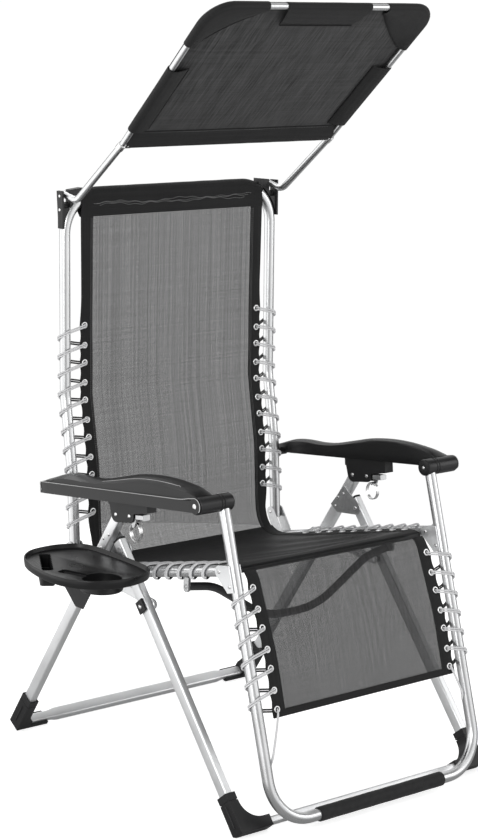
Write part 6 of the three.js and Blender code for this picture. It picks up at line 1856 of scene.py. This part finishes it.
class LOUNGER_OT_stage(PieceOperator):
    """Build the pale floor, the soft lights and the surroundings"""

    bl_idname = "lounger.stage"
    bl_label = "Studio"

    def make(self, settings):
        scene = bpy.context.scene
        studio = scene.lounger_studio
        scene.view_settings.view_transform = "Standard"
        scene.view_settings.look = "None"
        self.floor(studio)
        for name, place, aim, size, share in (
                ("key_softbox", (-3.6, -2.0, 1.9), (0.1, 0, 0.7), 2.4, 1),
                ("fill_softbox", (3.2, -2.4, 1.7), (0, 0, 0.6), 2.2, 0.4),
                ("rim_softbox", (0.6, 3.2, 3.0), (0, 0, 0.8), 2.2, 0.45)):
            data = bpy.data.lights.new(name, "AREA")
            data.shape, data.size, data.energy = "DISK", size, studio.key_power * share
            made = linked(name, data)
            made.location = place
            made.rotation_mode = "QUATERNION"
            made.rotation_quaternion = (Vector(aim) - Vector(place)).to_track_quat("-Z", "Y")
        self.surroundings(scene, studio)

    @staticmethod
    def floor(studio):
        """A pale round sheet that glows by itself, and less so in the tubes' reflections."""
        pale = Finish("studio_floor")
        mirrored_share = pale.node("LightPath").outputs["Is Glossy Ray"]
        colour = pale.node("MixRGB", {"Fac": mirrored_share, "Color1": (*studio.floor_colour, 1),
                                      "Color2": (0.38, 0.38, 0.38, 1)}).outputs["Color"]
        glow = pale.ramp(mirrored_share, studio.floor_glow, studio.floor_glow * 0.08, 0, 1)
        pale.set(Base_Color=colour, Roughness=0.9, Specular_IOR_Level=0.0, Emission_Color=(1, 1, 1, 1),
                 Emission_Strength=glow)
        data = bpy.data.meshes.new("studio_floor")
        rim = [(x, y, -0.0005) for x, y in arc(0.3, 0.35, 1.45, 0, math.tau, 96)[:-1]]
        data.from_pydata(rim, [], [list(range(len(rim)))])
        data.materials.append(pale.material)
        linked("studio_floor", data)

    @staticmethod
    def surroundings(scene, studio):
        """Bright walls with a few darker panels that draw lines down the tubes."""
        scene.world = bpy.data.worlds.new("studio_surroundings")
        scene.world.use_nodes = True
        tree = Nodes(scene.world.node_tree)
        split = tree.node("SeparateXYZ", {"Vector": tree.node("TexCoord").outputs["Generated"]}).outputs
        angle = tree.node("Math", {0: split["Y"], 1: split["X"]}, operation="ARCTAN2").outputs["Value"]
        turn = tree.node("MapRange", {"Value": angle, "From Min": -math.pi, "From Max": math.pi})
        walls = tree.node("ValToRGB", {"Fac": turn.outputs["Result"]})
        walls.color_ramp.interpolation = "EASE"
        stops = [(0.0, 1.25), (0.07, 1.1), (0.12, 0.42), (0.2, 0.5), (0.27, 1.15), (0.36, 1.1), (0.43, 0.2),
                 (0.50, 0.3), (0.56, 0.9), (0.66, 0.85), (0.70, 0.2), (0.75, 0.3), (0.81, 1.5), (0.9, 1.6),
                 (1.0, 1.25)]
        elements = walls.color_ramp.elements
        elements[0].position, elements[1].position = 0.0, 1.0
        for position, _ in stops[1:-1]:
            elements.new(position)
        for element, (position, value) in zip(elements, stops):
            element.position, element.color = position, (value, value, value, 1)
        height = tree.node("MapRange", {"Value": split["Z"], "From Min": 0.02, "From Max": 0.9,
                                        "To Min": 1.0, "To Max": 0.42}).outputs["Result"]
        glossy = tree.node("LightPath").outputs["Is Glossy Ray"]
        mix = tree.node("MixRGB", {"Fac": glossy, "Color1": height, "Color2": walls.outputs["Color"]})
        background = next(n for n in tree.nodes if n.type == "BACKGROUND")
        tree.feed(background.inputs["Color"], mix.outputs["Color"])
        background.inputs["Strength"].default_value = studio.sky_strength


# Settings and panel
def colour_property(name, description, default):
    return FloatVectorProperty(name=name, description=description, default=default, min=0, max=1, size=3,
                               subtype="COLOR")


class LoungerFinish(bpy.types.PropertyGroup):
    """Colours and openness of the lounger's finishes."""

    tube_colour: colour_property("Tube colour", "Reflection colour of the tubes", (0.68, 0.685, 0.69))
    plastic_colour: colour_property("Plastic colour", "Colour of feet, brackets and gussets",
                                    (0.009, 0.009, 0.0095))
    armrest_colour: colour_property("Armrest colour", "Colour of the armrests", (0.006, 0.006, 0.0062))
    tray_colour: colour_property("Tray colour", "Colour of the side tray", (0.007, 0.007, 0.0073))
    mesh_colour: colour_property("Mesh colour", "Colour of the open mesh's threads", (0.02, 0.02, 0.0205))
    seat_colour: colour_property("Seat colour", "Colour of the seat's dense weave", (0.01, 0.01, 0.0105))
    border_colour: colour_property("Border colour", "Colour of the slings' borders", (0.009, 0.009, 0.0093))
    canopy_colour: colour_property("Canopy colour", "Colour of the canopy's cover", (0.033, 0.033, 0.0335))
    pocket_colour: colour_property("Pocket colour", "Colour of the canopy's pockets",
                                   (0.0105, 0.0105, 0.0108))
    cord_colour: colour_property("Cord colour", "Colour of the elastic cord", (0.68, 0.68, 0.69))
    foam_colour: colour_property("Foam colour", "Colour of the foam grip", (0.012, 0.012, 0.0125))
    mesh_open: FloatProperty(name="Open share", description="Share of the mesh that is holes", default=0.17,
                             min=0, max=0.6, subtype="FACTOR")


class LoungerSizes(bpy.types.PropertyGroup):
    """Sizes that a user would change."""

    cord_radius: FloatProperty(name="Cord radius", description="Radius of one strand of the lacing",
                               default=CORD_R * MM, min=0.0005, max=0.003, unit="LENGTH", subtype="DISTANCE")


class LoungerStudio(bpy.types.PropertyGroup):
    """Floor and light of the studio."""

    floor_colour: colour_property("Floor colour", "Colour of the floor", (0.8, 0.8, 0.8))
    floor_glow: FloatProperty(name="Floor glow", description="Light that the lit floor sheet gives by itself",
                              default=0.7, min=0)
    key_power: FloatProperty(name="Key light power", description="Power of the main soft light", default=60,
                             min=0, unit="POWER")
    sky_strength: FloatProperty(name="Surroundings", description="Brightness of the studio's walls",
                                default=1.02, min=0)


PIECES = (
    LOUNGER_OT_camera, LOUNGER_OT_frame_tubes, LOUNGER_OT_cross_bars, LOUNGER_OT_legs, LOUNGER_OT_feet,
    LOUNGER_OT_fittings, LOUNGER_OT_armrests, LOUNGER_OT_barrels, LOUNGER_OT_locks, LOUNGER_OT_back_sling,
    LOUNGER_OT_seat_sling, LOUNGER_OT_leg_sling, LOUNGER_OT_lacing, LOUNGER_OT_foam_grip,
    LOUNGER_OT_canopy_frame, LOUNGER_OT_canopy_cover, LOUNGER_OT_gussets, LOUNGER_OT_tray, LOUNGER_OT_stage,
)


class LOUNGER_PT_panel(bpy.types.Panel):
    """The lounger's pieces and settings"""

    bl_idname = "LOUNGER_PT_panel"
    bl_label = "Sun lounger"
    bl_space_type = "VIEW_3D"
    bl_region_type = "UI"
    bl_category = "Lounger"

    def draw(self, context):
        layout, scene = self.layout, context.scene
        for group in (scene.lounger_sizes, scene.lounger_finish, scene.lounger_studio):
            box = layout.box()
            for name in group.__annotations__:
                box.prop(group, name)
        for operator in PIECES:
            layout.operator(operator.bl_idname)


CLASSES = (LoungerFinish, LoungerSizes, LoungerStudio, *PIECES, LOUNGER_PT_panel)


def register():
    for item in CLASSES:
        bpy.utils.register_class(item)
    bpy.types.Scene.lounger_finish = PointerProperty(type=LoungerFinish)
    bpy.types.Scene.lounger_sizes = PointerProperty(type=LoungerSizes)
    bpy.types.Scene.lounger_studio = PointerProperty(type=LoungerStudio)


def unregister():
    del bpy.types.Scene.lounger_studio, bpy.types.Scene.lounger_sizes, bpy.types.Scene.lounger_finish
    for item in reversed(CLASSES):
        bpy.utils.unregister_class(item)


def main():
    register()
    for operator in PIECES:
        group, name = operator.bl_idname.split(".")
        result = getattr(getattr(bpy.ops, group), name)()
        if "FINISHED" not in result:
            raise RuntimeError(f"{operator.bl_label} didn't finish")


if __name__ == "__main__":
    main()
